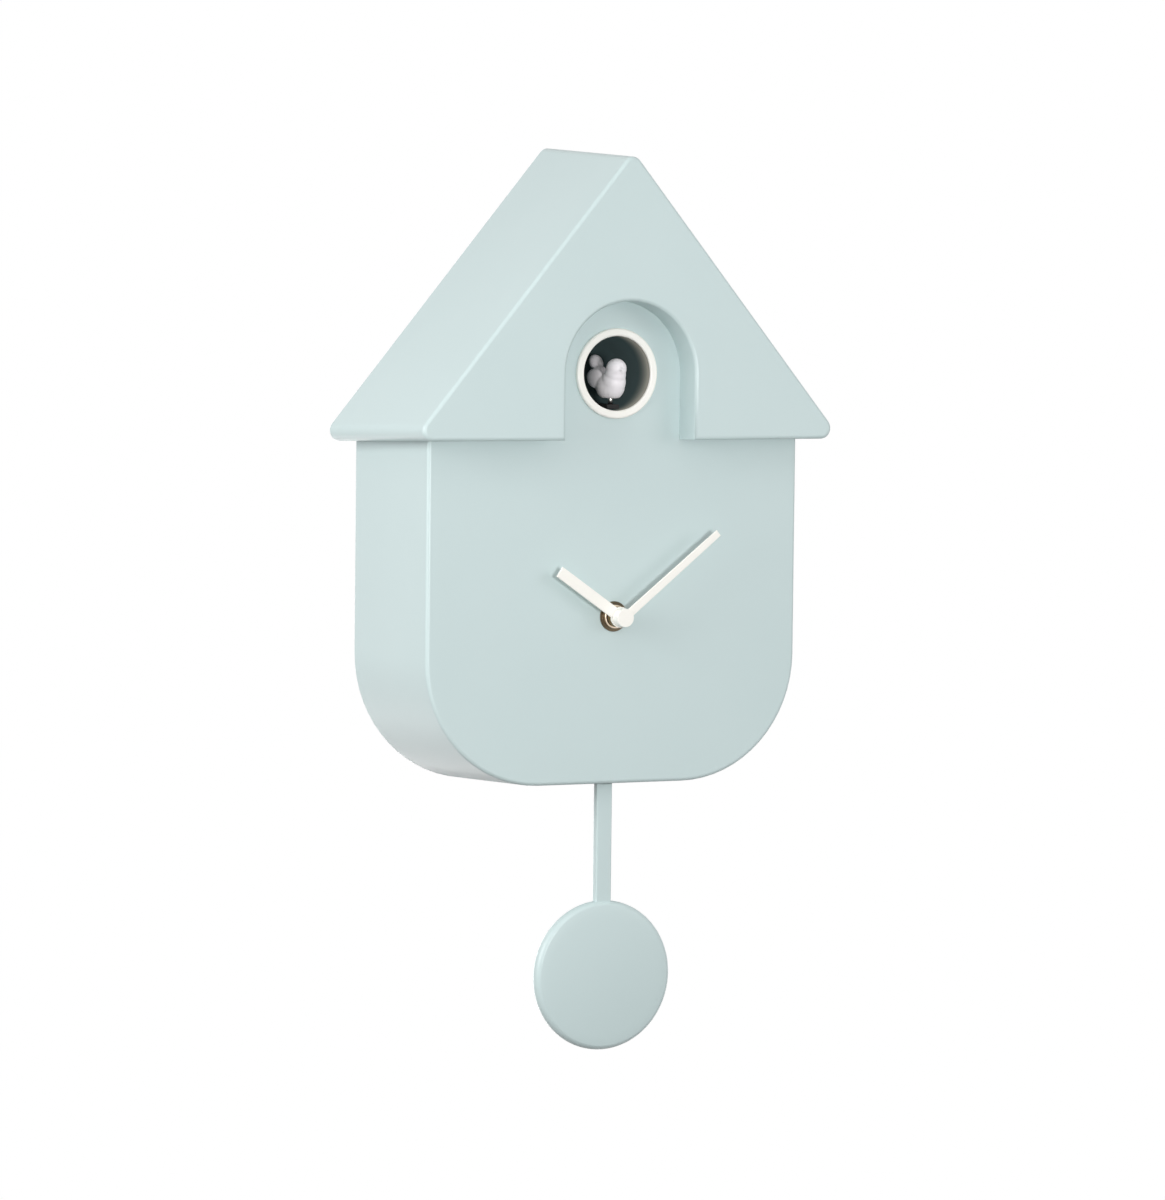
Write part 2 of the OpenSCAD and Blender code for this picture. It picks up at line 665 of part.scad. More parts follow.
// A feathered form rounded over a list of balls:
// [y past the stem, z above the bird's underside, x, radius]
module rounded_over(balls) {
    hull() for (b = balls) translate([b[2], stem_y + b[0], bird_low + b[1]]) sphere(r = b[3], $fn = 20);
}
module bird() {
    color([0.96, 0.95, 0.97]) difference() {
        union() {
            rounded_over([[1.4, 5, 0, 5], [-2.8, 7.4, 0, 5.8]]);
            rounded_over([[-2.8, 7.4, 0, 5.6], [-6.8, 13.2, 0, 4.1]]);
            rounded_over([[-10.2, 13, 0, 1.3], [-11.6, 12.8, 0, 0.6]]);
            rounded_over([[2.4, 6, 0, 4.8], [8, 8.2, 0, 3.8], [15.4, 16, 0, 2.6]]);
            for (s = [-1, 1])
                rounded_over([[1.4, 9.4, s * 4.6, 2], [9.4, 9, s * 3.9, 1.8], [5.2, 5.4, s * 4.3, 1.7]]);
        }
        translate([0, stem_y, bird_low - over]) cylinder(h = stem_in + over, r = stem_r + pilot_gap);
    }
}

module bird_stem() {
    color(steel) translate([0, stem_y, arm_top - stem_seat])
        cylinder(h = stem_seat + stem_shown + stem_in, r = stem_r);
}

rack_top = foot_z - 0.6;
rack_low = rack_top - 2.6;
rack_pitch_z = rack_low - (dedendum - 0.1) * rack_m;
rack_front = face_y + bird_travel + wall + 0.6;
web_t = 3;
rack_lead = 6;
rack_back = rack_front + rack_lead + bird_travel + web_t + 1;
pinion_y = rack_front + rack_lead;
pinion_z = rack_pitch_z - pitch_r(rack_teeth, rack_m);
rack_pitch = PI * rack_m;
// The fins on both sides of the rack that run in the frame's grooves
fin_w = 1.6;
fin_t = 1;
fin_up = 0.8;
// Half widths of a rack tooth's foot and tip, in half widths at its pitch line
rack_foot_share = 1.3;
rack_tip_share = 0.55;
module bird_carriage() {
    half = rack_pitch / 4 * (1 - tooth_play);
    reach = pinion_y - rack_front;
    beyond = rack_back - pinion_y;
    color(black) difference() {
        union() {
            block([-rack_w / 2, stem_y - 3, arm_low], [rack_w / 2, rack_back, arm_top]);
            block([-rack_w / 2, rack_back - web_t, rack_low], [rack_w / 2, rack_back, arm_top]);
            block([-rack_w / 2, rack_front, rack_low], [rack_w / 2, rack_back, rack_top]);
            block([-rack_w / 2 - fin_w, rack_front, rack_low + fin_up],
                  [rack_w / 2 + fin_w, rack_back, rack_low + fin_up + fin_t]);
            for (k = [-floor((reach - 2 * half) / rack_pitch):floor((beyond - 2 * half) / rack_pitch)])
                translate([-rack_w / 2, pinion_y + k * rack_pitch, 0])
                    rotate([90, 0, 90]) linear_extrude(rack_w)
                    polygon([[-half * rack_foot_share, rack_low + skin], [-half, rack_pitch_z],
                             [-half * rack_tip_share, rack_pitch_z - addendum * rack_m],
                             [half * rack_tip_share, rack_pitch_z - addendum * rack_m], [half, rack_pitch_z],
                             [half * rack_foot_share, rack_low + skin]]);
        }
        translate([0, stem_y, arm_top - stem_seat]) cylinder(h = stem_seat + over, r = stem_r + pilot_gap);
    }
}

// Gear pairs of the bird's drive: teeth of wheel and pinion, and their modules
wheel_teeth = 40;
idler_teeth = 10;
wheel_m = 0.4;
idler_wheel_teeth = 36;
motor_teeth = 9;
motor_m = 0.4;
cheek_in = rack_w / 2 + 0.3;
cheek_t = 3;
cheek_x = cheek_in + cheek_t;
idler_dir = -20;
idler_at = (pitch_r(wheel_teeth, wheel_m) + pitch_r(idler_teeth, wheel_m)) * [cos(idler_dir), sin(idler_dir)];
idler_y = pinion_y + idler_at[0];
idler_z = pinion_z + idler_at[1];
motor_dir = -20;
motor_at = (pitch_r(idler_wheel_teeth, motor_m) + pitch_r(motor_teeth, motor_m))
    * [cos(motor_dir), sin(motor_dir)];
motor_y = idler_y + motor_at[0];
motor_z = idler_z + motor_at[1];
drive_axle_r = 1;
pinion_shaft_r = 1.5;
gear_gap = 0.6;
wheel_x = cheek_x + gear_gap;
drive_wheel_t = 2;
idler_wheel_x = wheel_x + drive_wheel_t + gear_gap;
axle_head_x = idler_wheel_x + drive_wheel_t + 0.3;
axle_head_t = 0.8;
axle_head_r = 2;
frame_screw_x = cheek_x + 3.4;
frame_screw_y = [foot_y0 + 4, foot_y0 + 13.8];
flange_t = 2;
flange_half = 3;
cheek_half = 4;
bridge_t = 2.5;
groove_gap = 0.25;
// A gear across x from x0, thickness t, at y and z
module gear_x(teeth, m, y, z, x0, t, phase) {
    translate([x0, y, z]) rotate([90, 0, 90]) linear_extrude(t) gear_outline(teeth, m, phase);
}

module drive_frame() {
    low = motor_z - bird_motor_r - 1;
    groove_low = rack_low + fin_up - groove_gap;
    color(black) difference() {
        union() {
            for (s = [-1, 1]) {
                block([min(s * cheek_in, s * cheek_x), foot_y0, pinion_z - cheek_half],
                      [max(s * cheek_in, s * cheek_x), pinion_y + cheek_half, foot_z]);
                for (y = frame_screw_y)
                    block([min(s * cheek_in, s * foot_w / 2), y - flange_half, foot_z - flange_t],
                          [max(s * cheek_in, s * foot_w / 2), y + flange_half, foot_z]);
            }
            // the right cheek runs on behind the tunnel to carry the idler and the motor
            block([cheek_in, pinion_y - cheek_half, low], [cheek_x, motor_y + bird_motor_r, rack_top]);
            // a bridge under the rack joins the two cheeks
            block([-cheek_in - skin, foot_y0, pinion_z - cheek_half],
                  [cheek_in + skin, foot_y0 + bridge_t, rack_pitch_z - 3]);
        }
        block([-cheek_in - fin_w - 0.1, foot_y0 - over, groove_low],
              [cheek_in + fin_w + 0.1, motor_y + bird_motor_r + over, groove_low + fin_t + 2 * groove_gap]);
        along_x(pinion_y, pinion_z, -cheek_x - over, cheek_x + over, pinion_shaft_r + run_gap);
        along_x(idler_y, idler_z, cheek_in - over, cheek_x + over, drive_axle_r + pilot_gap);
        along_x(motor_y, motor_z, cheek_in - over, cheek_x + over, motor_boss_r + pilot_gap);
        for (s = [-1, 1], y = frame_screw_y)
            translate([s * frame_screw_x, y, foot_z - flange_t - over])
                cylinder(h = flange_t + 2 * over, r = small_screw_r + small_screw_gap);
    }
}

pinion_phase = 90 + 180 / rack_teeth;
drive_wheel_phase = 0;
idler_phase = in_mesh(drive_wheel_phase, wheel_teeth, idler_teeth, idler_dir);
motor_phase = in_mesh(0, idler_wheel_teeth, motor_teeth, motor_dir);

module rack_pinion() {
    color(ivory) {
        gear_x(rack_teeth, rack_m, pinion_y, pinion_z, -rack_w / 2 + 0.2, rack_w - 0.4, pinion_phase);
        along_x(pinion_y, pinion_z, -cheek_x + 0.4, wheel_x + drive_wheel_t, pinion_shaft_r);
    }
}

module drive_wheel() {
    color(ivory) difference() {
        gear_x(wheel_teeth, wheel_m, pinion_y, pinion_z, wheel_x, drive_wheel_t, drive_wheel_phase);
        along_x(pinion_y, pinion_z, wheel_x - over, wheel_x + drive_wheel_t + over,
                pinion_shaft_r + press_gap);
    }
}

module reduction_gear() {
    color(ivory) difference() {
        union() {
            gear_x(idler_teeth, wheel_m, idler_y, idler_z, wheel_x, drive_wheel_t + gear_gap + skin,
                   idler_phase);
            gear_x(idler_wheel_teeth, motor_m, idler_y, idler_z, idler_wheel_x, drive_wheel_t, 0);
        }
        along_x(idler_y, idler_z, wheel_x - over, idler_wheel_x + 2 * drive_wheel_t, drive_axle_r + run_gap);
    }
}

module gear_axle() {
    color(steel) {
        along_x(idler_y, idler_z, cheek_in, axle_head_x, drive_axle_r);
        along_x(idler_y, idler_z, axle_head_x, axle_head_x + axle_head_t, axle_head_r);
    }
}

motor_boss_r = 2.5;
motor_shaft_r = 0.75;
motor_shaft_l = 5;
module bird_motor() {
    color(steel) difference() {
        union() {
            along_x(motor_y, motor_z, cheek_in - bird_motor_l, cheek_in, bird_motor_r);
            along_x(motor_y, motor_z, cheek_in - skin, cheek_x, motor_boss_r);
        }
        along_x(motor_y, motor_z, cheek_in - motor_shaft_l - over, cheek_x + over, motor_shaft_r + run_gap);
    }
}

module motor_pinion() {
    color(brass) {
        along_x(motor_y, motor_z, cheek_in - motor_shaft_l, idler_wheel_x + skin, motor_shaft_r);
        gear_x(motor_teeth, motor_m, motor_y, motor_z, idler_wheel_x, drive_wheel_t, motor_phase);
    }
}

// ---- Hand movement ----

case_front_y = inner_y + gasket_t;
inside_y = case_front_y + movement_wall;
function layer_y(k) = inside_y + 1 + layer * k;
inside_back_y = layer_y(5) + wheel_t / 2 + 0.35;
case_back_y = inside_back_y + movement_wall;
case_split_y = (inside_y + inside_back_y) / 2;
train_arbor_r = 0.8;
post_arbor_r = train_arbor_r + 0.1;
end_play = 0.1;
pivot_r = 0.6;
pivot_l = 1.2;
centre_m = 0.35;
third_m = 0.3;
fourth_m = 0.25;
motion_m = 0.45;
// Directions from each arbor to the next
motion_dir = -45;
third_dir = 45;
fourth_dir = 150;
fifth_dir = 180;
rotor_dir = 240;
function step(teeth_a, teeth_b, m, dir) = (pitch_r(teeth_a, m) + pitch_r(teeth_b, m)) * [cos(dir), sin(dir)];
motion_at = step(10, 30, motion_m, motion_dir);
set_at = motion_at + step(30, 15, motion_m, motion_dir);
third_at = step(60, 8, centre_m, third_dir);
fourth_at = third_at + step(64, 8, third_m, fourth_dir);
fifth_at = fourth_at + step(60, 10, fourth_m, fifth_dir);
rotor_at = fifth_at + step(50, 10, fourth_m, rotor_dir);

// A wheel on layer k at a place from the hand shaft
module wheel(teeth, m, at, k, phase, t = wheel_t) {
    translate([at[0], layer_y(k) + t / 2, hub_z + at[1]]) rotate([90, 0, 0]) linear_extrude(t)
        gear_outline(teeth, m, phase);
}
module arbor(at, y0, y1, r = train_arbor_r) {
    along_y(at[0], hub_z + at[1], y0, y1, r);
}
// A train arbor with a pivot at each end, standing in both plates
module train_arbor(at) {
    arbor(at, inside_y + end_play, inside_back_y - end_play);
    arbor(at, case_front_y + movement_wall - pivot_l, case_back_y - movement_wall + pivot_l, pivot_r);
}
train_places = [third_at, fourth_at, fifth_at, rotor_at];

module movement_square(w) {
    translate([-w / 2, hub_z - w / 2]) square(w);
}

module movement_front() {
    color(black) difference() {
        union() {
            difference() {
                upright(case_front_y, case_split_y) movement_square(movement_w);
                upright(inside_y, case_split_y + over) movement_square(movement_w - 2 * movement_wall);
            }
            along_y(0, hub_z, face_y - bush_out, case_front_y + skin, bush_r);
            arbor(motion_at, inside_y - skin, layer_y(1) + wheel_t / 2 + end_play, post_arbor_r);
        }
        along_y(0, hub_z, face_y - bush_out - over, inside_y + over, pipe_r + run_gap);
        for (p = train_places) arbor(p, case_front_y - over, inside_y + over, pivot_r + run_gap);
        arbor(set_at, case_front_y - over, inside_y + over, pivot_r + run_gap);
    }
}

module movement_back() {
    color(black) difference() {
        union() {
            difference() {
                upright(case_split_y, case_back_y) movement_square(movement_w);
                upright(case_split_y - over, inside_back_y) movement_square(movement_w - 2 * movement_wall);
            }
            for (p = stator_posts) arbor(p, stator_y + stator_t, inside_back_y + skin, stator_post_r);
        }
        for (p = concat(train_places, [[0, 0]]))
            arbor(p, inside_back_y - over, case_back_y + over, pivot_r + run_gap);
        arbor(set_at, inside_back_y - over, case_back_y + over, set_shaft_r + run_gap);
    }
}

gasket_r = washer_r + 4;
module rubber_gasket() {
    color(black) difference() {
        along_y(0, hub_z, inner_y, case_front_y, gasket_r);
        along_y(0, hub_z, inner_y - over, case_front_y + over, bush_r + fit_gap);
    }
}
module hub_washer() {
    color(brass) difference() {
        along_y(0, hub_z, face_y - washer_t, face_y, washer_r);
        along_y(0, hub_z, face_y - washer_t - over, face_y + over, bush_r + fit_gap / 2);
    }
}
module hub_nut() {
    nut_y = face_y - washer_t - nut_t;
    color(brass) difference() {
        along_y(0, hub_z, nut_y, nut_y + nut_t, nut_r);
        along_y(0, hub_z, nut_y - over, nut_y + nut_t + over, bush_r + run_gap);
    }
}

// Planes of the hands, outwards from the bush
hour_collar_y = face_y - bush_out - 0.4;
hour_collar_l = 2.8;
hour_hand_y = hour_collar_y - hour_collar_l;
minute_back_y = hour_hand_y - hand_t - 0.4;
minute_hub_l = 3.8;
minute_front_y = minute_back_y - minute_hub_l;
cap_t = 0.8;
hour_collar_r = 4.6;
minute_taper = 0.6;
hour_pipe_end = hour_hand_y - hand_t + 0.4;
minute_arbor_end = minute_front_y + 1.2;

module minute_arbor() {
    color(brass) {
        arbor([0, 0], minute_arbor_end, layer_y(2), arbor_r);
        arbor([0, 0], layer_y(2) - skin, inside_back_y - 0.1, 1);
        arbor([0, 0], inside_back_y - 0.2, inside_back_y + pivot_l, pivot_r);
        wheel(10, motion_m, [0, 0], 1, 0);
        wheel(60, centre_m, [0, 0], 2, 0);
    }
}

motion_pinion_phase = 0;
module hour_wheel() {
    color(ivory) difference() {
        union() {
            wheel(32, motion_m, [0, 0], 0, in_mesh(motion_pinion_phase, 8, 32, motion_dir + 180));
            arbor([0, 0], hour_pipe_end, layer_y(0), pipe_r);
        }
        arbor([0, 0], hour_pipe_end - over, layer_y(0) + over, arbor_r + run_gap);
    }
}
module motion_wheel() {
    color(ivory) difference() {
        union() {
            wheel(30, motion_m, motion_at, 1, in_mesh(0, 10, 30, motion_dir));
            wheel(8, motion_m, motion_at, 0, motion_pinion_phase);
            arbor(motion_at, layer_y(0), layer_y(1), 1.25);
        }
        arbor(motion_at, layer_y(0) - over, layer_y(1) + over, post_arbor_r + run_gap);
    }
}
module train_wheel(at, pinion_teeth, pinion_m, pinion_k, pinion_phase, teeth, m, k) {
    color(ivory) {
        train_arbor(at);
        wheel(pinion_teeth, pinion_m, at, pinion_k, pinion_phase);
        wheel(teeth, m, at, k, 0);
    }
}
module third_wheel() {
    train_wheel(third_at, 8, centre_m, 2, in_mesh(0, 60, 8, third_dir), 64, third_m, 3);
}
module fourth_wheel() {
    train_wheel(fourth_at, 8, third_m, 3, in_mesh(0, 64, 8, fourth_dir), 60, fourth_m, 4);
}
module fifth_wheel() {
    train_wheel(fifth_at, 10, fourth_m, 4, in_mesh(0, 60, 10, fifth_dir), 50, fourth_m, 5);
}
rotor_r = 2.4;
rotor_front = layer_y(4) - 2.5;
rotor_back = layer_y(4) + 0.5;
module rotor() {
    color(dark) {
        train_arbor(rotor_at);
        wheel(10, fourth_m, rotor_at, 5, in_mesh(0, 50, 10, rotor_dir));
        arbor(rotor_at, rotor_front, rotor_back, rotor_r);
    }
}

stator_t = 1;
stator_y = layer_y(3) + 0.5;
stator_gap = 0.5;
stator_rim = 2;
stator_post_r = 1.2;
stator_posts = [[-23, 0], [-3.6, -11]];
// The stator's two limbs stand on the core that the coil is wound on, left and right of the coil
coil_low = -17;
core_h = 2.4;
limb_left = -25;
coil_x0 = -20;
coil_x1 = -6;
limb_right = -2;
left_limb = [[limb_left, coil_low], [coil_x0, coil_low], [coil_x0, -1], [-14, 3], [-16, 10], [limb_left, 3]];
right_limb = [[coil_x1, coil_low], [limb_right, coil_low], [limb_right, -3], [-9.5, 6], [-13, 3.5],
    [coil_x1, -4]];
module stator() {
    color(steel) difference() {
        upright(stator_y, stator_y + stator_t) translate([0, hub_z]) union() {
            translate(rotor_at) circle(rotor_r + stator_gap + stator_rim);
            polygon(left_limb);
            polygon(right_limb);
            translate([limb_left, coil_low - core_h / 2]) square([limb_right - limb_left, core_h]);
        }
        arbor(rotor_at, stator_y - over, stator_y + stator_t + over, rotor_r + stator_gap);
    }
}
module movement_coil() {
    mid = stator_y + stator_t / 2;
    z = hub_z + coil_low;
    end = 0.3;
    cheek = 0.8;
    color(copper) difference() {
        union() {
            along_x(mid, z, coil_x0 + end, coil_x1 - end, 3.2);
            for (x = [coil_x0 + end, coil_x1 - end - cheek]) along_x(mid, z, x, x + cheek, 3.9);
        }
        block([coil_x0 - over, stator_y - 0.05, z - core_h / 2 - 0.1],
              [coil_x1 + over, stator_y + stator_t + 0.05, z + core_h / 2 + 0.1]);
    }
}

set_shaft_r = 2;
knob_l = 7;
knob_sunk = 0.6;
knob_flutes = 12;
flute_r = 0.7;
module setting_knob() {
    knob_y = -knob_sunk;
    color(ivory) {
        wheel(15, motion_m, set_at, 1, in_mesh(in_mesh(0, 10, 30, motion_dir), 30, 15, motion_dir));
        arbor(set_at, inside_y + 0.1, layer_y(2), 1.2);
        arbor(set_at, inside_y - pivot_l, inside_y + 0.2, pivot_r);
        arbor(set_at, layer_y(2) - skin, knob_y - knob_l + skin, set_shaft_r);
        difference() {
            arbor(set_at, knob_y - knob_l, knob_y, knob_r);
            for (k = [1:knob_flutes])
                translate([set_at[0], knob_y, hub_z + set_at[1]]) rotate([0, k * 360 / knob_flutes, 0])
                    translate([knob_r, 0, 0]) rotate([90, 0, 0])
                        cylinder(h = 2 * (knob_l + over), r = flute_r, center = true);
        }
    }
}

// A flat hand that points up before it is turned, from its hub to its square tip
module hand_bar(length, base_w, tip_w, y0, y1, turn) {
    translate([0, 0, hub_z]) rotate([0, turn, 0]) upright(y0, y1)
        polygon([[-base_w / 2, 0], [-tip_w / 2, length], [tip_w / 2, length], [base_w / 2, 0]]);
}
minute_turn = 6 * shown_minute;
hour_turn = 30 * shown_hour + shown_minute / 2;
module hour_collet() {
    color(brass) difference() {
        along_y(0, hub_z, hour_hand_y, hour_collar_y, hour_collar_r);
        along_y(0, hub_z, hour_hand_y - over, hour_collar_y + over, pipe_r + press_gap);
    }
}
module hour_hand() {
    color(ivory) difference() {
        union() {
            hand_bar(hour_l, hour_w, hour_w, hour_hand_y - hand_t, hour_hand_y, hour_turn);
            along_y(0, hub_z, hour_hand_y - hand_t, hour_hand_y, hour_collar_r);
        }
        along_y(0, hub_z, hour_hand_y - hand_t - over, hour_hand_y + over, pipe_r + press_gap);
    }
}
module minute_hand() {
    color(ivory) difference() {
        union() {
            hand_bar(minute_l, minute_w + minute_taper, minute_w, minute_front_y, minute_front_y + hand_t,
                     minute_turn);
            along_y(0, hub_z, minute_front_y, minute_back_y, cap_r);
        }
        along_y(0, hub_z, minute_front_y - over, minute_back_y + over, arbor_r + press_gap);
    }
}
module hand_cap() {
    color(ivory) {
        along_y(0, hub_z, minute_front_y - cap_t, minute_front_y, cap_r);
        along_y(0, hub_z, minute_front_y - skin, minute_arbor_end - 0.1, arbor_r - 0.05);
    }
}

// ---- Pendulum ----

bracket_t = 2;
hanger_boss_r = 2.6;
pin_front = rod_y - rod_t / 2 - 2.8;
clip_front = pin_front + 0.8;
clip_t = 0.8;
clip_r = 2.6;
magnet_down = 18;
magnet_r = 4;
magnet_t = 1.4;
magnet_proud = 0.2;
magnet_rim = 1.4;
hanger_l = 24;
hanger_low = pivot_z - hanger_l;
hanger_w = 6;
hanger_head_r = 4.4;
bracket_h = 10;
bracket_lap = 5;
coil_plate_w = 20;
coil_plate_low = 9;
coil_peg_r = 2;
boss_l = 2;
tongue_w = 4;
tongue_t = 1.4;
tongue_l = 10;
tongue_gap = 0.1;
module pendulum_bracket() {
    color(black) difference() {
        union() {
            upright(bracket_y, bracket_y + bracket_t) union() {
                translate([-bracket_post_x - bracket_lap, pivot_z - bracket_h / 2])
                    square([2 * (bracket_post_x + bracket_lap), bracket_h]);
                translate([-coil_plate_w / 2, pivot_z - magnet_down - coil_plate_low])
                    square([coil_plate_w, magnet_down + coil_plate_low]);
            }
            along_y(0, pivot_z, bracket_y - boss_l, bracket_y + skin, hanger_boss_r);
        }
        along_y(0, pivot_z, bracket_y - boss_l - over, bracket_y + bracket_t + over, pin_r + press_gap);
        for (s = [-1, 1])
            along_y(s * bracket_post_x, pivot_z, bracket_y - over, bracket_y + bracket_t + over,
                    screw_r + screw_gap);
        along_y(0, pivot_z - magnet_down, bracket_y - over, bracket_y + bracket_t + over,
                coil_peg_r + pilot_gap);
    }
}
module pivot_pin() {
    color(steel) along_y(0, pivot_z, pin_front, bracket_y + bracket_t, pin_r);
}
module pin_clip() {
    color(steel) difference() {
        along_y(0, pivot_z, clip_front, clip_front + clip_t, clip_r);
        along_y(0, pivot_z, clip_front - over, clip_front + clip_t + over, pin_r + press_gap);
    }
}
module inner_screws() {
    color(steel) {
        for (a = ear_angles) screw_y(ear(a)[0], ear(a)[1], inner_y + ear_h + ear_t, 1, short_screw_l);
        for (s = [-1, 1]) screw_y(s * bracket_post_x, pivot_z, bracket_y + bracket_t, 1, short_screw_l);
    }
}
module pendulum_hanger() {
    back = rod_y + rod_t / 2;
    color(ivory) difference() {
        union() {
            along_y(0, pivot_z, rod_y - rod_t / 2, back, hanger_head_r);
            block([-hanger_w / 2, rod_y - rod_t / 2, hanger_low], [hanger_w / 2, back, pivot_z]);
            along_y(0, pivot_z - magnet_down, rod_y - rod_t / 2, back, magnet_r + magnet_rim);
            block([-tongue_w / 2, rod_y - tongue_t / 2, hanger_low - tongue_l],
                  [tongue_w / 2, rod_y + tongue_t / 2, hanger_low + skin]);
        }
        along_y(0, pivot_z, rod_y - rod_t, back + over, pin_r + run_gap);
        along_y(0, pivot_z - magnet_down, back - magnet_t + magnet_proud, back + over,
                magnet_r + pilot_gap);
    }
}
module drive_magnet() {
    back = rod_y + rod_t / 2;
    color(steel) along_y(0, pivot_z - magnet_down, back - magnet_t + magnet_proud, back + magnet_proud,
                         magnet_r);
}
// The drive coil on its bobbin, pressed into the bracket by a peg
bobbin_l = 5.8;
bobbin_flange_t = 0.8;
bobbin_r = 7.6;
winding_r = 6.6;
module drive_coil() {
    z = pivot_z - magnet_down;
    back = bracket_y + bracket_t;
    color(copper) {
        along_y(0, z, back + bobbin_flange_t, back + bobbin_l - bobbin_flange_t, winding_r);
        along_y(0, z, back, back + bobbin_flange_t + skin, bobbin_r);
        along_y(0, z, back + bobbin_l - bobbin_flange_t - skin, back + bobbin_l, bobbin_r);
        along_y(0, z, bracket_y + 0.3, back + skin, coil_peg_r);
    }
}

rod_top = hanger_low - 0.2;
rod_in = 13;
rod_low = disc_z + disc_r - rod_in;
module pendulum_rod() {
    color(plastic) difference() {
        block([-rod_w / 2, rod_y - rod_t / 2, rod_low], [rod_w / 2, rod_y + rod_t / 2, rod_top]);
        block([-tongue_w / 2 - tongue_gap, rod_y - tongue_t / 2 - tongue_gap, rod_top - tongue_l - 0.4],
              [tongue_w / 2 + tongue_gap, rod_y + tongue_t / 2 + tongue_gap, rod_top + over]);
    }
}
disc_wall = 1.8;
edge_r = disc_t / 2;
back_r = disc_r - edge_r;
// Half outline of the disc, [radius, distance towards the front], drawn in by i
function disc_points(i) =
    let (e = edge_r - i, front = edge_r + disc_dome - i)
    concat([for (a = [-90:22.5:67.5]) [back_r + e * cos(a), e * sin(a)]],
           [for (k = [0:6]) let (r = back_r * (1 - k / 6)) [r, e + (front - e) * (1 - pow(r / back_r, 2))]]);
// The disc turned about its middle, from its open back to its domed face, drawn in by i
module disc_solid(i, mouth, back) {
    translate([0, rod_y, disc_z]) rotate([90, 0, 0]) rotate_extrude()
        polygon(concat([[0, -back], [mouth, -back]], disc_points(i)));
}
disc_mouth = back_r - 0.8;
disc_plate_t = 1.2;
module pendulum_disc() {
    rib = 1.4;
    color(plastic) difference() {
        union() {
            difference() {
                disc_solid(0, back_r - 0.1, edge_r);
                disc_solid(disc_wall, disc_mouth, edge_r + over);
            }
            intersection() {
                disc_solid(0.2, back_r - 0.1, edge_r - disc_plate_t);
                block([-rod_w / 2 - rib, rod_y - edge_r, rod_low - rib],
                      [rod_w / 2 + rib, rod_y + edge_r, disc_z + disc_r]);
            }
        }
        block([-rod_w / 2 - pilot_gap, rod_y - rod_t / 2 - pilot_gap, rod_low],
              [rod_w / 2 + pilot_gap, rod_y + rod_t / 2 + pilot_gap, disc_z + disc_r + over]);
    }
}
module disc_back() {
    back = rod_y + edge_r;
    color(plastic) along_y(0, disc_z, back - disc_plate_t, back, disc_mouth - pilot_gap);
}

// ---- Electronics ----

// The slider and the button end this far below the cover's face
cap_sunk = 0.4;
slider_w = 3;
slider_h = 2;
slider_body = [18, 3.6, 6.8];
button_body = [7, 2.4, 7];
button_stem_r = 1.5;
button_flange_r = 4;
module board_holes() {
    for (p = board_screws)
        along_y(p[0], p[1], board_y - board_t - over, board_y + over, small_screw_r + small_screw_gap);
}
module circuit_board() {
    color(laminate) difference() {
        block([-board_w / 2, board_y - board_t, board_z - board_h / 2],
              [board_w / 2, board_y, board_z + board_h / 2]);
        board_holes();
    }
}
// The components on the board's front: a chip, two capacitors, a plug socket and three resistors
chip = [12, 1.6, 8];
chip_x = -2;
capacitor_r = 3;
capacitor_l = 7;
capacitor_xs = [-16, 10];
capacitor_up = 8;
socket = [12, 6, 6];
socket_at = [14, -9];
resistor_r = 1.2;
resistor_l = 6;
resistor_xs = [-19, -11, -3];
resistor_up = -9;
module board_parts() {
    front = board_y - board_t;
    color(black) {
        translate([chip_x, front - chip[1] / 2, board_z]) cube(chip, center = true);
        for (x = capacitor_xs) along_y(x, board_z + capacitor_up, front - capacitor_l, front, capacitor_r);
        translate([socket_at[0], front - socket[1] / 2, board_z + socket_at[1]]) cube(socket, center = true);
        for (x = resistor_xs)
            along_x(front - resistor_r, board_z + resistor_up, x - resistor_l / 2, x + resistor_l / 2,
                    resistor_r);
        difference() {
            translate([slider_x, board_y + slider_body[1] / 2, board_z]) cube(slider_body, center = true);
            block([slider_x - slider_w / 2 - slider_travel - 0.3, board_y + 0.6, board_z - slider_h / 2 - 0.3],
                  [slider_x + slider_w / 2 + slider_travel + 0.3, board_y + slider_body[1] + over,
                   board_z + slider_h / 2 + 0.3]);
        }
        difference() {
            translate([button_x, board_y + button_body[1] / 2, board_z]) cube(button_body, center = true);
            along_y(button_x, board_z, board_y + 0.3, board_y + button_body[1] + over, button_stem_r + 0.1);
        }
    }
}
module volume_slider() {
    color(black) {
        block([slider_x - slider_w / 2, board_y + 0.8, board_z - slider_h / 2],
              [slider_x + slider_w / 2, cover_y - 1, board_z + slider_h / 2]);
        block([slider_x - slider_cap_w / 2, cover_y - 1.6, board_z - slider_cap_h / 2],
              [slider_x + slider_cap_w / 2, -cap_sunk, board_z + slider_cap_h / 2]);
    }
}
module test_button() {
    color(ivory) {
        along_y(button_x, board_z, board_y + 1.9, cover_y - 1, button_stem_r);
        along_y(button_x, board_z, cover_y - 1.2, cover_y - 0.05, button_flange_r);
        along_y(button_x, board_z, cover_y - 1, -cap_sunk, button_r);
    }
}
module light_sensor() {
    seat = body_floor(drawn_in(sensor_at[1] - sensor_flange_r)) + wall;
    color(clear) translate([sensor_at[0], sensor_at[1], 0]) {
        translate([0, 0, seat - wall]) cylinder(h = sensor_h, r = sensor_r);
        translate([0, 0, seat + pilot_gap]) cylinder(h = sensor_flange_t, r = sensor_flange_r);
    }
}
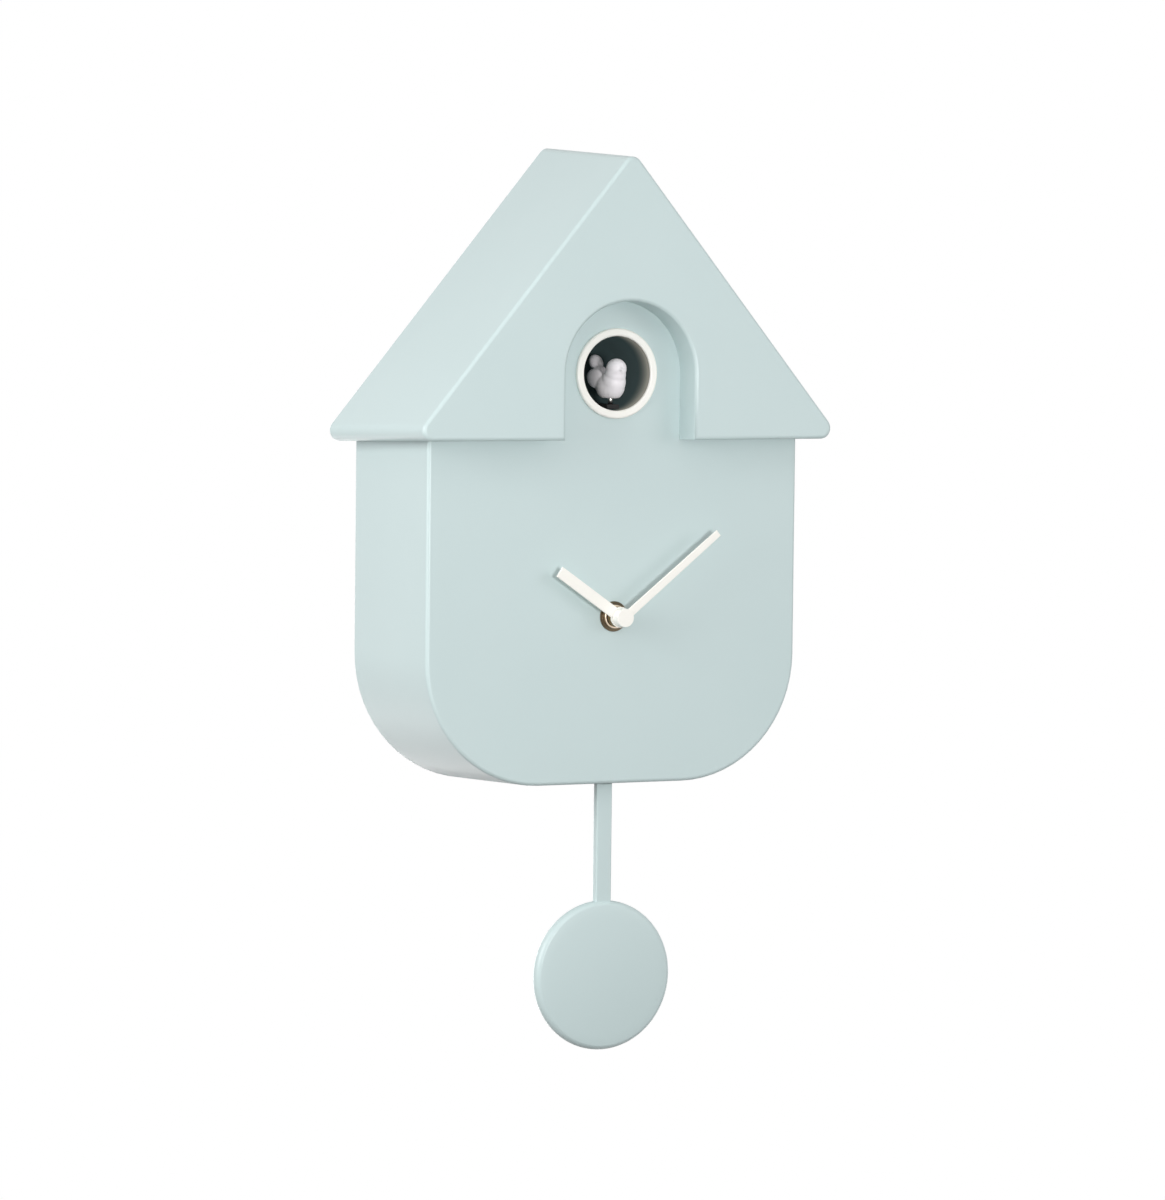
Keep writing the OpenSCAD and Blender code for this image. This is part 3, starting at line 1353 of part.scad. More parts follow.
// The loudspeaker is turned about its own axis, [radius, distance from the cover towards the front]
speaker_seat = cover_y - speaker_seat_t;
module speaker_turned(points) {
    translate([speaker_x, speaker_seat, speaker_z]) rotate([90, 0, 0]) rotate_extrude() polygon(points);
}
basket_l = 9;
basket_r = 14;
speaker_magnet_t = 5;
speaker_magnet_r = 12;
module speaker_frame() {
    t = speaker_flange_t;
    color(black) union() {
        upright(speaker_seat - t, speaker_seat) translate([speaker_x, speaker_z]) difference() {
            union() {
                circle(speaker_r);
                for (a = speaker_boss_angles) rotate(a) {
                    translate([speaker_boss_at, 0]) circle(speaker_boss_r);
                    translate([speaker_r - 1, -2.5]) square([speaker_boss_at - speaker_r + 1, 5]);
                }
            }
            circle(speaker_mouth);
            for (a = speaker_boss_angles) rotate(a)
                translate([speaker_boss_at, 0]) circle(small_screw_r + small_screw_gap);
        }
        speaker_turned([[speaker_r - 3.3, t - 0.3], [speaker_r - 2.2, t - 0.3], [speaker_r - 2.2, t],
                        [basket_r, basket_l + t], [0, basket_l + t], [0, basket_l], [basket_r - 1, basket_l],
                        [speaker_r - 3.3, t]]);
    }
}
module speaker_cone() {
    rim = speaker_mouth - pilot_gap;
    color(dark) speaker_turned([[rim, 0.1], [rim, 0.8], [rim - 2.5, 0.8], [8, 6.8], [0, 5.2], [0, 4.6],
                                [7.8, 6.1], [rim - 2.8, 0.1]]);
}
module speaker_magnet() {
    color(steel) along_y(speaker_x, speaker_z, speaker_seat - basket_l - speaker_flange_t - speaker_magnet_t,
                         speaker_seat - basket_l - speaker_flange_t, speaker_magnet_r);
}
// A small screw along y whose head faces the front, with its seat at y
module small_screw_y(x, z, y) {
    difference() {
        union() {
            along_y(x, z, y, y + small_screw_l, small_screw_r);
            along_y(x, z, y - small_head_t, y, small_head_r);
        }
        for (a = [0, 90]) translate([x, y - small_head_t, z]) rotate([0, a, 0])
            cube([small_recess_w, small_head_t, small_recess_l], center = true);
    }
}
module small_screws() {
    color(steel) {
        for (p = board_screws) small_screw_y(p[0], p[1], board_y - board_t);
        for (a = speaker_boss_angles)
            small_screw_y(speaker_x + speaker_boss_at * cos(a), speaker_z + speaker_boss_at * sin(a),
                          speaker_seat - speaker_flange_t);
        for (s = [-1, 1], y = frame_screw_y) small_screw_z(s * frame_screw_x, y, foot_z - flange_t);
    }
}

roof_shell();
body_shell();
back_cover();
battery_door();
bezel_ring();
bird_tunnel();
bird();
bird_stem();
bird_carriage();
drive_frame();
rack_pinion();
drive_wheel();
reduction_gear();
gear_axle();
bird_motor();
motor_pinion();
movement_front();
movement_back();
rubber_gasket();
hub_washer();
hub_nut();
minute_arbor();
hour_wheel();
motion_wheel();
third_wheel();
fourth_wheel();
fifth_wheel();
rotor();
stator();
movement_coil();
setting_knob();
hour_collet();
hour_hand();
minute_hand();
hand_cap();
pendulum_bracket();
pivot_pin();
pin_clip();
pendulum_hanger();
drive_magnet();
drive_coil();
pendulum_rod();
pendulum_disc();
disc_back();
circuit_board();
board_parts();
volume_slider();
test_button();
light_sensor();
speaker_frame();
speaker_magnet();
speaker_cone();
cells();
cell_contacts();
case_screws();
inner_screws();
small_screws();
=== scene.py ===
import math

import bmesh
import bpy
from mathutils import Matrix, Vector


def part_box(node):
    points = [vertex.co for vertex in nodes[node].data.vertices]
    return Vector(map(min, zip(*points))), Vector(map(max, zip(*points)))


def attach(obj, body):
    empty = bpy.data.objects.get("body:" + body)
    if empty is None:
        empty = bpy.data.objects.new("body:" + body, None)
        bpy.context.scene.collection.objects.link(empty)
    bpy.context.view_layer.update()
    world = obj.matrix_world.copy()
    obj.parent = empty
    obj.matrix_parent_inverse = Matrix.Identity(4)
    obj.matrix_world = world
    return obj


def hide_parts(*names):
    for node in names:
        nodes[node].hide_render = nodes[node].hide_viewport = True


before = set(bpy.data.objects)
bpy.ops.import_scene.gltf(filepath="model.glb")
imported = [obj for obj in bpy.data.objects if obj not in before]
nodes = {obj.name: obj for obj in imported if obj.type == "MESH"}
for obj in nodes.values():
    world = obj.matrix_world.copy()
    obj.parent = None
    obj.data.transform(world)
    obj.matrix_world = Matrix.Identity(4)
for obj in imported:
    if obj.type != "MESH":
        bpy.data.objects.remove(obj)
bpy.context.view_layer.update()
scene = bpy.context.scene

# ---- Room
# The clock hangs in a plain white surround, high over a plain pale floor. A small soft box stands almost
# straight in front, and a stronger one far to the left draws the pale lines along the rounded edges.


def mm(*v):
    return Vector(v) / 1000


def linear(hexa):
    """sRGB hex to linear RGBA."""
    c = [int(hexa[i:i + 2], 16) / 255 for i in (0, 2, 4)]
    return [x / 12.92 if x <= 0.04045 else ((x + 0.055) / 1.055) ** 2.4 for x in c] + [1]


def add(tree, kind, inputs=(), **settings):
    """A node of that kind with its settings, its input values and the sockets linked to it."""
    node = tree.nodes.new("ShaderNode" + kind)
    for key, value in settings.items():
        setattr(node, key, value)
    for key, value in dict(inputs).items():
        if isinstance(value, bpy.types.NodeSocket):
            tree.links.new(value, node.inputs[key])
        else:
            node.inputs[key].default_value = value
    return node


def fresh(name):
    """A new material and its emptied node tree."""
    material = bpy.data.materials.new(name)
    material.use_nodes = True
    material.node_tree.nodes.clear()
    return material, material.node_tree


CASE_MIDDLE = mm(0, 0, -120)


def soft_box(name, azimuth, height, distance, size, power):
    """A square soft box aimed at the case, azimuth in degrees from straight in front towards the right."""
    across, up = math.radians(azimuth), math.radians(height)
    way = Vector((math.sin(across) * math.cos(up), -math.cos(across) * math.cos(up), math.sin(up)))
    data = bpy.data.lights.new(name, "AREA")
    data.size = size
    data.energy = power
    lamp = bpy.data.objects.new(name, data)
    lamp.location = CASE_MIDDLE + way * distance
    lamp.rotation_euler = way.to_track_quat("Z", "Y").to_euler()
    scene.collection.objects.link(lamp)


soft_box("front box", -10, 2, 1.0, 0.12, 3.9)
soft_box("left box", -78, 14, 1.1, 0.6, 7.6)
soft_box("right box", 40, 10, 1.5, 0.6, 2.7)
soft_box("top box", -30, 45, 1.2, 0.6, 0.9)
soft_box("back box", 180, -12, 2.0, 1.2, 12)

SURROUND = 0.43
scene.world = bpy.data.worlds.new("surround")
scene.world.use_nodes = True
tree = scene.world.node_tree
tree.nodes.clear()
path = add(tree, "LightPath")
seen = add(tree, "Math", {0: path.outputs["Is Camera Ray"], 1: path.outputs["Is Glossy Ray"]},
           operation="MAXIMUM")
seen = add(tree, "Math", {0: seen.outputs[0], 1: path.outputs["Is Transmission Ray"]}, operation="MAXIMUM")
level = add(tree, "MapRange", {"Value": seen.outputs[0], "To Min": SURROUND, "To Max": 1.0})
glow = add(tree, "Background", {"Color": (1, 1, 1, 1), "Strength": level.outputs[0]})
add(tree, "OutputWorld", {"Surface": glow.outputs[0]})
scene.view_settings.view_transform = "Standard"

FLOOR_HALF, FLOOR_DROP, FLOOR_GREY, FLOOR_LIFT = 30, 3.0, 0.35, 0.85
corners = [(x * FLOOR_HALF, y * FLOOR_HALF, 0) for x, y in ((-1, -1), (1, -1), (1, 1), (-1, 1))]
floor_mesh = bpy.data.meshes.new("floor")
floor_mesh.from_pydata(corners, [], [(0, 1, 2, 3)])
floor = bpy.data.objects.new("floor", floor_mesh)
floor.location = (0, 0, -FLOOR_DROP)
scene.collection.objects.link(floor)
paper, tree = fresh("white floor")
path = add(tree, "LightPath")
seen = add(tree, "Math", {0: path.outputs["Is Camera Ray"], 1: path.outputs["Is Glossy Ray"]},
           operation="MAXIMUM")
matte = add(tree, "BsdfDiffuse", {"Color": (FLOOR_GREY, FLOOR_GREY, FLOOR_GREY, 1)})
lift = add(tree, "Math", {0: seen.outputs[0], 1: FLOOR_LIFT}, operation="MULTIPLY")
white = add(tree, "Emission", {"Color": (1, 1, 1, 1), "Strength": lift.outputs[0]})
both = add(tree, "AddShader", {0: matte.outputs[0], 1: white.outputs[0]})
add(tree, "OutputMaterial", {"Surface": both.outputs[0]})
floor_mesh.materials.append(paper)

# The camera stands to the clock's left, nearly level with its keyhole, and looks a little down at its middle.
AZIMUTH, PITCH, ROLL = math.radians(27.184), math.radians(3.506), math.radians(0.62)
backward = Vector((-math.sin(AZIMUTH) * math.cos(PITCH), -math.cos(AZIMUTH) * math.cos(PITCH),
                   math.sin(PITCH)))
level_x = Vector((0, 0, 1)).cross(backward).normalized()
facing = Matrix((level_x, backward.cross(level_x), backward)).transposed() @ Matrix.Rotation(ROLL, 3, "Z")
AIM, DISTANCE = mm(-1.279, -42, -148.289), 2.72588
camera = bpy.data.objects.new("camera", bpy.data.cameras.new("camera"))
camera.matrix_world = Matrix.Translation(AIM + backward * DISTANCE) @ facing.to_4x4()
camera.data.sensor_width = 36
camera.data.lens = 181.52
camera.data.clip_end = 100
scene.collection.objects.link(camera)
scene.camera = camera

# ---- Roof
# One ABS moulding, open at the back, with a round-headed arch cut through its front and an arch wall
# that runs back to the house. Its edges are rounded, and its matt skin shows a pale line of light there.


WELD = 2e-6


def cad_copy(node):
    """The CAD node's mesh as one closed skin with its flat faces whole."""
    bm = bmesh.new()
    bm.from_mesh(nodes[node].data)
    bmesh.ops.remove_doubles(bm, verts=bm.verts, dist=WELD)
    bmesh.ops.dissolve_limit(bm, angle_limit=math.radians(0.3), verts=bm.verts, edges=bm.edges)
    return bm


def round_over(bm, width, picked, segments=4, steep=25, least=0.0):
    """Rounds the sharp edges whose two ends picked(end) accepts and that are longer than least."""
    edges = [e for e in bm.edges if len(e.link_faces) == 2 and e.calc_face_angle(0) > math.radians(steep)
             and e.calc_length() > least and all(picked(v.co) for v in e.verts)]
    bmesh.ops.bevel(bm, geom=edges, offset=width, offset_type="OFFSET", segments=segments, profile=0.5,
                    affect="EDGES", clamp_overlap=False, loop_slide=False)


def placed(name, bm, body, slot, material, *stands_for, crease=32):
    """Puts the mesh in the scene as a smooth piece that rides on a body in place of CAD nodes."""
    bmesh.ops.recalc_face_normals(bm, faces=bm.faces)
    mesh = bpy.data.meshes.new(name)
    bm.to_mesh(mesh)
    bm.free()
    mesh.materials.append(material)
    mesh.shade_smooth()
    mesh.set_sharp_from_angle(angle=math.radians(crease))
    piece = bpy.data.objects.new(name, mesh)
    scene.collection.objects.link(piece)
    piece.modifiers.new("normals", "WEIGHTED_NORMAL").keep_sharp = True
    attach(piece, body)
    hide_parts(*stands_for)
    return piece


def plastic(name, colour, tint, rough, grain=0.5, relief=0.00001):
    """Moulded plastic: a nearly even colour, and the fine matt grain of a spark-eroded mould."""
    material, tree = fresh(name)
    where = add(tree, "TexCoord")
    flow = add(tree, "TexNoise", {"Vector": where.outputs["Object"], "Scale": 22, "Detail": 2})
    skin = add(tree, "TexNoise", {"Vector": where.outputs["Object"], "Scale": 1000 / grain, "Detail": 2})
    tone = add(tree, "MixRGB", {0: flow.outputs[0], 1: linear(colour), 2: linear(tint)})
    dull = add(tree, "MapRange", {"Value": skin.outputs[0], "To Min": rough - 0.05, "To Max": rough + 0.05})
    bump = add(tree, "Bump", {"Height": skin.outputs[0], "Distance": relief, "Strength": 0.6})
    body = add(tree, "BsdfPrincipled", {"Base Color": tone.outputs[0], "Roughness": dull.outputs[0],
                                        "Normal": bump.outputs[0], "IOR": 1.53})
    add(tree, "OutputMaterial", {"Surface": body.outputs[0]})
    return material


case_abs = plastic("pale grey-green moulded ABS", "C4D5D5", "C8D8D8", 0.36)
SHELL_EDGE, ON_FRONT = 0.0017, 2e-5
roof_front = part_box("roof_shell")[0][1]
bm = cad_copy("roof_shell")
round_over(bm, SHELL_EDGE, lambda end: abs(end.y - roof_front) < ON_FRONT, segments=5)
placed("roof", bm, "case", "case_plastic", case_abs, "roof_shell")

# ---- House
# The lower shell, of the same ABS: a flat front that runs on up behind the arch, straight sides and
# two large round corners. It slips up inside the roof and is screwed to it from within.
OPENINGS_HALF, LOW_EDGE = 0.05, -0.2
house_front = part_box("body_shell")[0][1]


def on_outline(end):
    """On the front's outer edge, and not at the openings for the ring and the hands."""
    return abs(end.y - house_front) < ON_FRONT and (abs(end.x) > OPENINGS_HALF or end.z < LOW_EDGE)


bm = cad_copy("body_shell")
round_over(bm, SHELL_EDGE, on_outline, segments=5)
placed("house", bm, "case", "case_plastic", case_abs, "body_shell")

# ---- Back cover and battery door
# A flat ABS moulding let in flush between the two shells, with the keyhole, the sound holes and the
# battery box, and the door that turns on its lower edge. Small mouldings get small rounded edges.


def eased(node, width, material, segments=2, steep=30):
    """Rounds all the sharp edges of a CAD node where it stands, and gives it its material."""
    piece = nodes[node]
    piece.data.materials.clear()
    piece.data.materials.append(material)
    weld = piece.modifiers.new("weld", "WELD")
    weld.merge_threshold = WELD
    flat = piece.modifiers.new("flat", "DECIMATE")
    flat.decimate_type = "DISSOLVE"
    flat.angle_limit = math.radians(0.5)
    if width:
        bevel = piece.modifiers.new("edges", "BEVEL")
        bevel.width = width
        bevel.segments = segments
        bevel.limit_method = "ANGLE"
        bevel.angle_limit = math.radians(steep)
        bevel.use_clamp_overlap = True
    smooth = piece.modifiers.new("normals", "WEIGHTED_NORMAL")
    smooth.keep_sharp = True
    for face in piece.data.polygons:
        face.use_smooth = True


eased("back_cover", 0.0, case_abs)
eased("battery_door", 0.0003, case_abs)

# ---- Bird's ring and tunnel
# A white ring with softly rounded lips snaps into the house front. A matt tunnel behind it holds the bird;
# its near-black colour is painted shade. Over the last millimetres before the ring the colour turns pale, a
# painted light where the lamps reach in at the mouth.


def turned(profile, x, z, steps=128):
    """Turns a closed outline of [radius, y] about an axis along Y through x and z, all in millimetres."""
    bm = bmesh.new()
    rows = []
    for radius, y in profile:
        if radius < 1e-6:
            rows.append([bm.verts.new(mm(x, y, z))] * steps)
        else:
            rows.append([bm.verts.new(mm(x + radius * math.cos(math.tau * k / steps), y,
                                         z + radius * math.sin(math.tau * k / steps))) for k in range(steps)])
    for a, b in zip(rows, rows[1:] + rows[:1]):
        for k in range(steps):
            corners = list(dict.fromkeys((a[k], a[(k + 1) % steps], b[(k + 1) % steps], b[k])))
            if len(corners) > 2:
                bm.faces.new(corners)
    return bm


def lip(radius, y, r, start, end, steps=8):
    """Points of a rounded edge of radius r about (radius, y), angles in degrees from +radius towards +y."""
    return [(radius + r * math.cos(math.radians(start + (end - start) * k / steps)),
             y + r * math.sin(math.radians(start + (end - start) * k / steps))) for k in range(steps + 1)]


ring_white = plastic("white polished ABS", "FBF9F2", "FDFBF5", 0.3, grain=2, relief=0.000002)
face = house_front * 1000
(ring_x0, ring_y0, ring_z0), (ring_x1, ring_y1, ring_z1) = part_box("bezel_ring")
RING_Z, RING_R, RING_IN = 500 * (ring_z0 + ring_z1), 500 * (ring_x1 - ring_x0), 16.6
SPIGOT_IN, SPIGOT_OUT, LIP_T = 17.65, 18.4, 1.1
FOOT_R, OUTER_R, BORE_R = 0.25, 1.0, 0.9
ring_front, ring_back = ring_y0 * 1000, ring_y1 * 1000
outline = [(SPIGOT_IN, ring_back), (SPIGOT_OUT, ring_back), (SPIGOT_OUT, face)]
outline += lip(RING_R - FOOT_R, face - FOOT_R, FOOT_R, 90, 0, 3)
outline += lip(RING_R - OUTER_R, ring_front + OUTER_R, OUTER_R, 0, -90)
outline += lip(RING_IN + BORE_R, ring_front + BORE_R, BORE_R, -90, -180)
outline += [(RING_IN, ring_front + LIP_T), (SPIGOT_IN, ring_front + LIP_T)]
placed("bird_ring", turned(outline, 0, RING_Z), "case", "white_plastic", ring_white, "bezel_ring")

# Painted shade: the near-black green base colour stands in for the shade inside the closed tunnel.
tunnel_painted_shade_abs = plastic("ABS with painted shade, painted light at mouth", "192E30", "1D3536", 0.75)
MOUTH_LIGHT_DEPTH = 0.012
tunnel_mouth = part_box("bird_tunnel")[0][1]
# Painted light: the base colour turns pale (ABA89C) over the last 12 mm behind the mouth, standing in for
# lamp light that reaches in there.
tree = tunnel_painted_shade_abs.node_tree
shade_colour_input = next(node for node in tree.nodes if node.type == "BSDF_PRINCIPLED").inputs["Base Color"]
where = add(tree, "SeparateXYZ", {0: add(tree, "TexCoord").outputs["Object"]})
near = add(tree, "MapRange", {"Value": where.outputs["Y"], "From Min": tunnel_mouth,
                              "From Max": tunnel_mouth + MOUTH_LIGHT_DEPTH, "To Min": 1, "To Max": 0})
mouth_light_falloff = add(tree, "Math", {0: near.outputs[0], 1: 2}, operation="POWER")
tone = add(tree, "MixRGB", {0: mouth_light_falloff.outputs[0], 1: shade_colour_input.links[0].from_socket, 2: linear("ABA89C")})
tree.links.new(tone.outputs[0], shade_colour_input)
eased("bird_tunnel", 0.0, tunnel_painted_shade_abs)

# ---- Bird, stem and carriage
# A small glossy moulded songbird without painted marks: a round breast, a head with a stub of a beak,
# folded wings and a raised tail. A steel wire holds it on the black carriage that slides in and out.
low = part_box("bird")[0][2] * 1000
(_, stem_y0, _), (_, stem_y1, _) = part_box("bird_stem")
stem = 500 * (stem_y0 + stem_y1)


def lobe(bm, centre, radii, tilt=0, turn=0):
    """One rounded lobe, an egg of the given half sizes, nose up by tilt and swung sideways by turn."""
    made = bmesh.ops.create_uvsphere(bm, u_segments=32, v_segments=20, radius=1)["verts"]
    place = (Matrix.Translation(centre) @ Matrix.Rotation(math.radians(turn), 4, "Z")
             @ Matrix.Rotation(math.radians(tilt), 4, "X") @ Matrix.Diagonal((*radii, 1)))
    bmesh.ops.transform(bm, matrix=place, verts=made)


def fused(bm, voxel, smoothing):
    """Melts overlapping lobes into one skin, then softens it, and hands back its mesh."""
    mesh = bpy.data.meshes.new("lobes")
    bm.to_mesh(mesh)
    bm.free()
    blob = bpy.data.objects.new("lobes", mesh)
    scene.collection.objects.link(blob)
    remesh = blob.modifiers.new("skin", "REMESH")
    remesh.mode = "VOXEL"
    remesh.voxel_size = voxel
    soften = blob.modifiers.new("soft", "SMOOTH")
    soften.factor = 0.5
    soften.iterations = smoothing
    skin = bmesh.new()
    skin.from_mesh(blob.evaluated_get(bpy.context.evaluated_depsgraph_get()).to_mesh())
    bpy.data.objects.remove(blob)
    return skin


bm = bmesh.new()
lobe(bm, mm(0, stem + 0.2, low + 5.5), mm(6.1, 8.2, 6.8))
lobe(bm, mm(0, stem - 3.2, low + 7.6), mm(5.4, 5.4, 6.0), -20)
lobe(bm, mm(0, stem - 4.6, low + 10.6), mm(4.8, 4.8, 4.8))
lobe(bm, mm(0, stem - 5.5, low + 13.2), mm(4.6, 4.7, 4.6))
lobe(bm, mm(0, stem - 10.2, low + 12.9), mm(0.9, 1.6, 0.8), 6)
lobe(bm, mm(0, stem + 8.6, low + 9.8), mm(3.3, 6.0, 3.4), 40)
lobe(bm, mm(0, stem + 14.1, low + 15.5), mm(3.1, 4.4, 2.9), 40)
for side in (-1, 1):
    lobe(bm, mm(side * 4.6, stem + 5.8, low + 8.6), mm(1.9, 6.6, 4.4), 8, side * -5)
for v in bm.verts:
    v.co.z = max(v.co.z, low / 1000)
bird_gloss = plastic("white glossy ABS", "F4EFF3", "F6F2F5", 0.4, grain=3, relief=0.000002)
VOXEL, SOFTENING = 0.0004, 4
placed("songbird", fused(bm, VOXEL, SOFTENING), "bird", "bird_plastic", bird_gloss, "bird", crease=180)


def metal(name, colour, rough, grain=0.3, relief=0.000004, brushed=None):
    """Bare or plated metal: even colour and a fine grain, drawn out one way where it is turned or rolled."""
    material, tree = fresh(name)
    where = add(tree, "TexCoord")
    along = add(tree, "Mapping", {"Vector": where.outputs["Object"], "Scale": brushed or (1, 1, 1)})
    scratch = add(tree, "TexNoise", {"Vector": along.outputs[0], "Scale": 1000 / grain, "Detail": 3})
    dull = add(tree, "MapRange", {"Value": scratch.outputs[0], "To Min": rough - 0.08,
                                  "To Max": rough + 0.08})
    bump = add(tree, "Bump", {"Height": scratch.outputs[0], "Distance": relief, "Strength": 0.5})
    tone = add(tree, "MixRGB", {0: scratch.outputs[0], 1: linear(colour),
                                2: [v * 1.12 for v in linear(colour)[:3]] + [1]})
    body = add(tree, "BsdfPrincipled", {"Base Color": tone.outputs[0], "Roughness": dull.outputs[0],
                                        "Normal": bump.outputs[0], "Metallic": 1.0})
    add(tree, "OutputMaterial", {"Surface": body.outputs[0]})
    return material


bright_wire = metal("drawn steel wire", "DAD8D4", 0.3, brushed=(1, 1, 0.1))
eased("bird_stem", 0.0, bright_wire)
black_abs = plastic("black moulded ABS", "0E0F11", "141517", 0.6)
black_acetal = plastic("black moulded acetal", "090A0B", "0E0F10", 0.8)
eased("bird_carriage", 0.00015, black_acetal)

# ---- Bird's drive
# Acetal gears on steel axles in a black frame under the tunnel, and a small drawn-steel motor with a brass
# pinion. None of it shows until the case is opened.
acetal = plastic("natural acetal", "EDEBE2", "F3F1E9", 0.38, grain=1.2, relief=0.000004)
zinc = metal("zinc-plated steel", "C9CBCE", 0.32)
can_steel = metal("drawn motor can", "B9BBBE", 0.28, brushed=(0.1, 1, 1))
gear_brass = metal("machined brass", "D2B26A", 0.3)
eased("drive_frame", 0.0002, black_abs)
for gear in ("rack_pinion", "drive_wheel", "reduction_gear"):
    eased(gear, 0.0, acetal)
eased("gear_axle", 0.0001, zinc)
eased("bird_motor", 0.0004, can_steel)
eased("motor_pinion", 0.0, gear_brass)

# ---- Hand movement
# A black ABS case in two snapped halves, a train of acetal wheels, a ferrite rotor in a rolled-steel stator
# with a copper coil, and a rubber gasket against the house front.
rubber = plastic("black rubber", "101010", "161616", 0.75, grain=0.8, relief=0.00002)
ferrite = plastic("sintered ferrite", "222325", "2A2B2D", 0.6, grain=0.3, relief=0.00001)
rolled_steel = metal("rolled electrical steel", "8C8E92", 0.4, brushed=(1, 0.1, 1))


WIRE = 0.4


def winding(name):
    """Enamelled copper wire, wound turn beside turn: 0.1 mm wire drawn as WIRE mm so that it shows."""
    material, tree = fresh(name)
    where = add(tree, "TexCoord")
    turns = add(tree, "TexWave", {"Vector": where.outputs["Object"], "Scale": 1000 / WIRE / math.tau * 2,
                                  "Distortion": 0.3}, wave_type="BANDS", bands_direction="DIAGONAL")
    bump = add(tree, "Bump", {"Height": turns.outputs["Fac"], "Distance": 0.0001, "Strength": 0.8})
    tone = add(tree, "MixRGB", {0: turns.outputs["Fac"], 1: linear("7E3E1C"), 2: linear("B9653A")})
    body = add(tree, "BsdfPrincipled", {"Base Color": tone.outputs[0], "Roughness": 0.35,
                                        "Normal": bump.outputs[0], "Metallic": 0.8})
    add(tree, "OutputMaterial", {"Surface": body.outputs[0]})
    return material


copper = winding("enamelled copper winding")
for half in ("movement_front", "movement_back"):
    eased(half, 0.0003, black_abs)
eased("rubber_gasket", 0.0001, rubber)
eased("minute_arbor", 0.0, gear_brass)
for wheel in ("hour_wheel", "motion_wheel", "third_wheel", "fourth_wheel", "fifth_wheel", "setting_knob"):
    eased(wheel, 0.0, acetal)
eased("rotor", 0.0, ferrite)
eased("stator", 0.0001, rolled_steel)
eased("movement_coil", 0.0001, copper)

# ---- Hub and hands
# A brass washer and a bright turned nut hold the movement; the washer's dark colour is painted shade. The
# hands are stamped aluminium, enamelled white, on a brass collet browned with painted shade and a pressed
# hub, and a white cap covers the arbor.
# Painted shade: the washer's dark olive and the collet's brown stand in for the shade behind the hands; both
# are brass.
washer_brass_painted_shade = metal("brass with painted shade", "5D5446", 0.35)
collet_brass_painted_shade = metal("brass collet with painted shade", "8A7450", 0.42)
nut_brass = metal("pale turned brass", "E8D5BF", 0.32)
eased("hub_washer", 0.0001, washer_brass_painted_shade)
eased("hub_nut", 0.0004, nut_brass)
eased("hour_collet", 0.0002, collet_brass_painted_shade)


def enamel(name, colour):
    """Sprayed white enamel on aluminium: even, satin, with a faint orange peel about 1 mm across."""
    material, tree = fresh(name)
    where = add(tree, "TexCoord")
    peel = add(tree, "TexNoise", {"Vector": where.outputs["Object"], "Scale": 1000, "Detail": 1})
    bump = add(tree, "Bump", {"Height": peel.outputs[0], "Distance": 0.000004, "Strength": 0.5})
    tone = add(tree, "MixRGB", {0: peel.outputs[0], 1: linear(colour), 2: linear("FBF9F2")})
    body = add(tree, "BsdfPrincipled", {"Base Color": tone.outputs[0], "Roughness": 0.35,
                                        "Normal": bump.outputs[0], "Coat Weight": 0.15})
    add(tree, "OutputMaterial", {"Surface": body.outputs[0]})
    return material


hand_white = enamel("white enamel", "F7F5EE")
HAND_EDGE, SHORTEST = 0.00022, 0.0015
for hand, body, name, least in (("hour_hand", "hour", "hour_bar", SHORTEST),
                                ("minute_hand", "minute", "minute_bar", SHORTEST),
                                ("hand_cap", "minute", "arbor_cap", 0.0)):
    bm = cad_copy(hand)
    round_over(bm, HAND_EDGE, lambda end: True, segments=3, steep=40, least=least)
    placed(name, bm, body, "white_aluminium", hand_white, hand)

# ---- Pendulum
# A flat ABS rod hangs on an acetal hanger inside the case, and its disc is a domed ABS shell with a round
# edge and a plate pressed into its back. A magnet on the hanger passes the drive coil.
eased("pendulum_bracket", 0.0003, black_abs)
eased("pivot_pin", 0.0001, zinc)
eased("pin_clip", 0.0, zinc)
eased("pendulum_hanger", 0.0002, acetal)
eased("drive_magnet", 0.0001, can_steel)
eased("drive_coil", 0.0002, copper)
ROD_EDGE, ROD_SIDE = 0.0007, 0.003
bm = cad_copy("pendulum_rod")
round_over(bm, ROD_EDGE, lambda end: abs(end.x) > ROD_SIDE, segments=3, steep=40)
placed("rod", bm, "pendulum", "case_plastic", case_abs, "pendulum_rod")

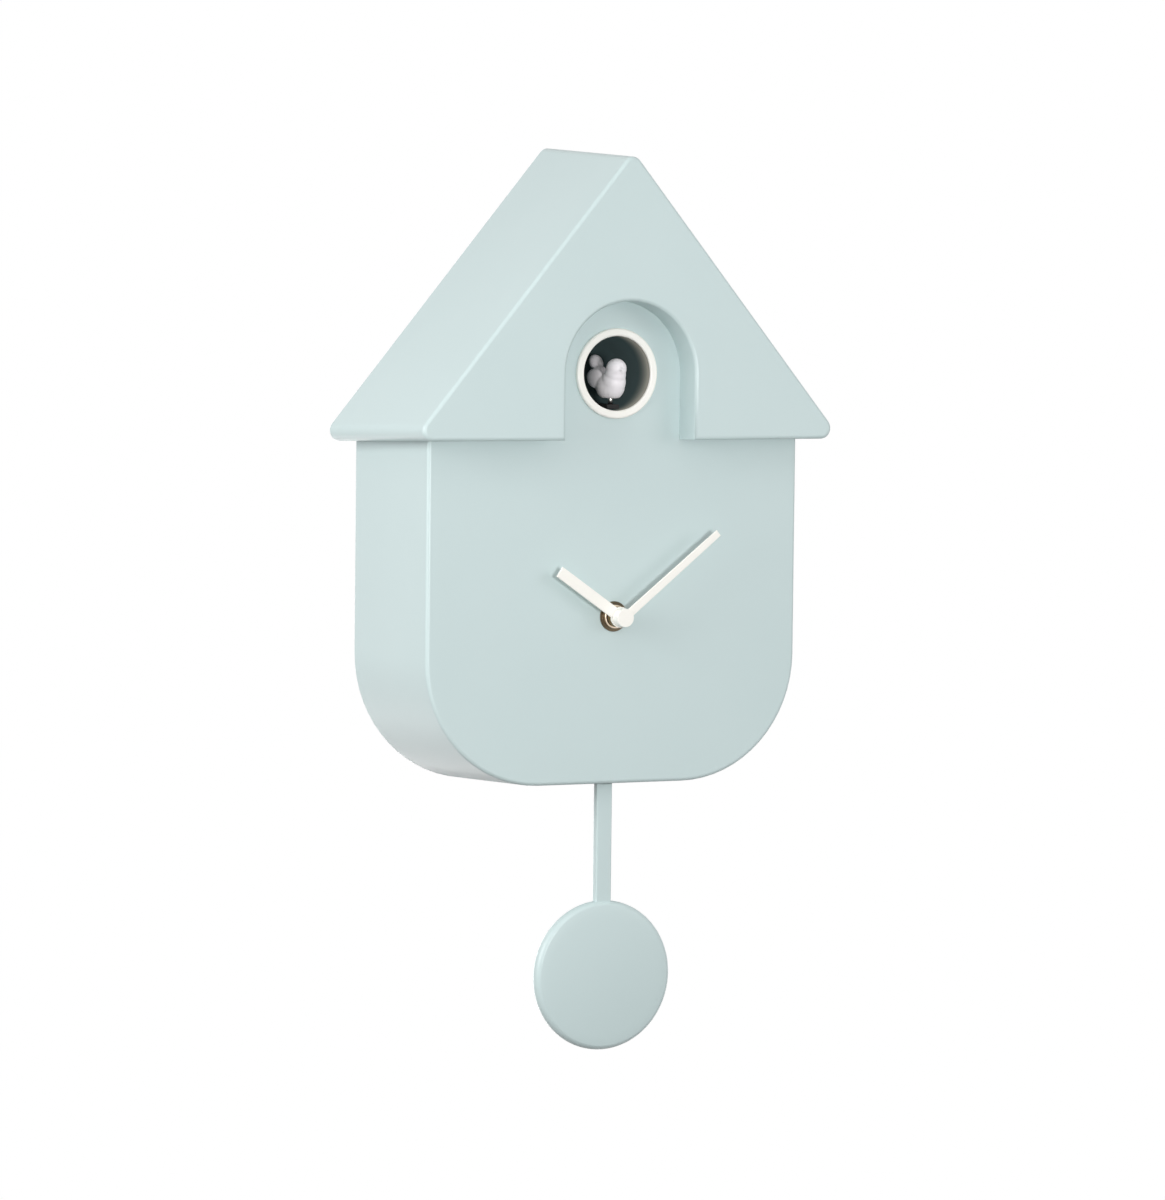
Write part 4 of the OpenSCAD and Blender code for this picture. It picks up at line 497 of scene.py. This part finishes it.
box = [[1000 * v for v in corner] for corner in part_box("pendulum_disc")]
(disc_x0, disc_y0, disc_z0), (disc_x1, disc_y1, disc_z1) = box
DISC_R, DISC_Z, EDGE_R, DISC_WALL = (disc_x1 - disc_x0) / 2, (disc_z0 + disc_z1) / 2, 3.3, 1.8
REBATE, REBATE_DEEP, STEPS = 0.8, 1.5, 20
middle = disc_y1 - EDGE_R
flat_r = DISC_R - EDGE_R
mouth = flat_r - REBATE
dome = middle - EDGE_R - disc_y0
outline = [(mouth, disc_y1), (flat_r - 0.1, disc_y1)] + lip(flat_r, middle, EDGE_R, 80, -70, 24)
outline += [(flat_r * (1 - k / STEPS), middle - EDGE_R - dome * (1 - (1 - k / STEPS) ** 2))
            for k in range(1, STEPS + 1)]
inner = EDGE_R - DISC_WALL
outline += [(flat_r * k / STEPS, middle - inner - dome * (1 - (k / STEPS) ** 2)) for k in range(STEPS)]
outline += lip(flat_r, middle, inner, -85, 60, 8)
outline += [(flat_r, disc_y1 - REBATE_DEEP), (mouth, disc_y1 - REBATE_DEEP)]
placed("disc", turned(outline, 0, DISC_Z), "pendulum", "case_plastic", case_abs, "pendulum_disc")
eased("disc_back", 0.0004, case_abs)

# ---- Electronics and speaker
# A green laminate board with black components behind the case floor, a paper-coned speaker behind the
# sound holes, three cells in the box, and the slider, button and light sensor that reach outside.
board_green = plastic("green solder resist on laminate", "2C6B3D", "2F7341", 0.35, grain=3, relief=0.000006)
part_black = plastic("black epoxy", "1B1C1E", "242527", 0.55, grain=0.6)
sensor_lens = plastic("clear acrylic", "C5CBD0", "CDD3D8", 0.12, grain=5, relief=0.000001)
paper_cone = plastic("black pressed paper", "232325", "2C2C2E", 0.8, grain=0.7, relief=0.00005)
jacket = plastic("printed cell sleeve", "39424A", "3F4951", 0.3, grain=4, relief=0.000002)
eased("circuit_board", 0.0, board_green)
eased("board_parts", 0.0002, part_black)
eased("volume_slider", 0.0002, black_abs)
eased("test_button", 0.0003, acetal)
eased("light_sensor", 0.0003, sensor_lens)
eased("speaker_frame", 0.0002, black_abs)
eased("speaker_magnet", 0.0004, ferrite)
eased("speaker_cone", 0.0, paper_cone)
eased("cells", 0.0006, jacket)
eased("cell_contacts", 0.0, zinc)

# ---- Screws
# Zinc-plated pan-head screws with cross recesses: nine in the case, five inside and eleven small ones.
for screws in ("case_screws", "inner_screws", "small_screws"):
    eased(screws, 0.00015, zinc)
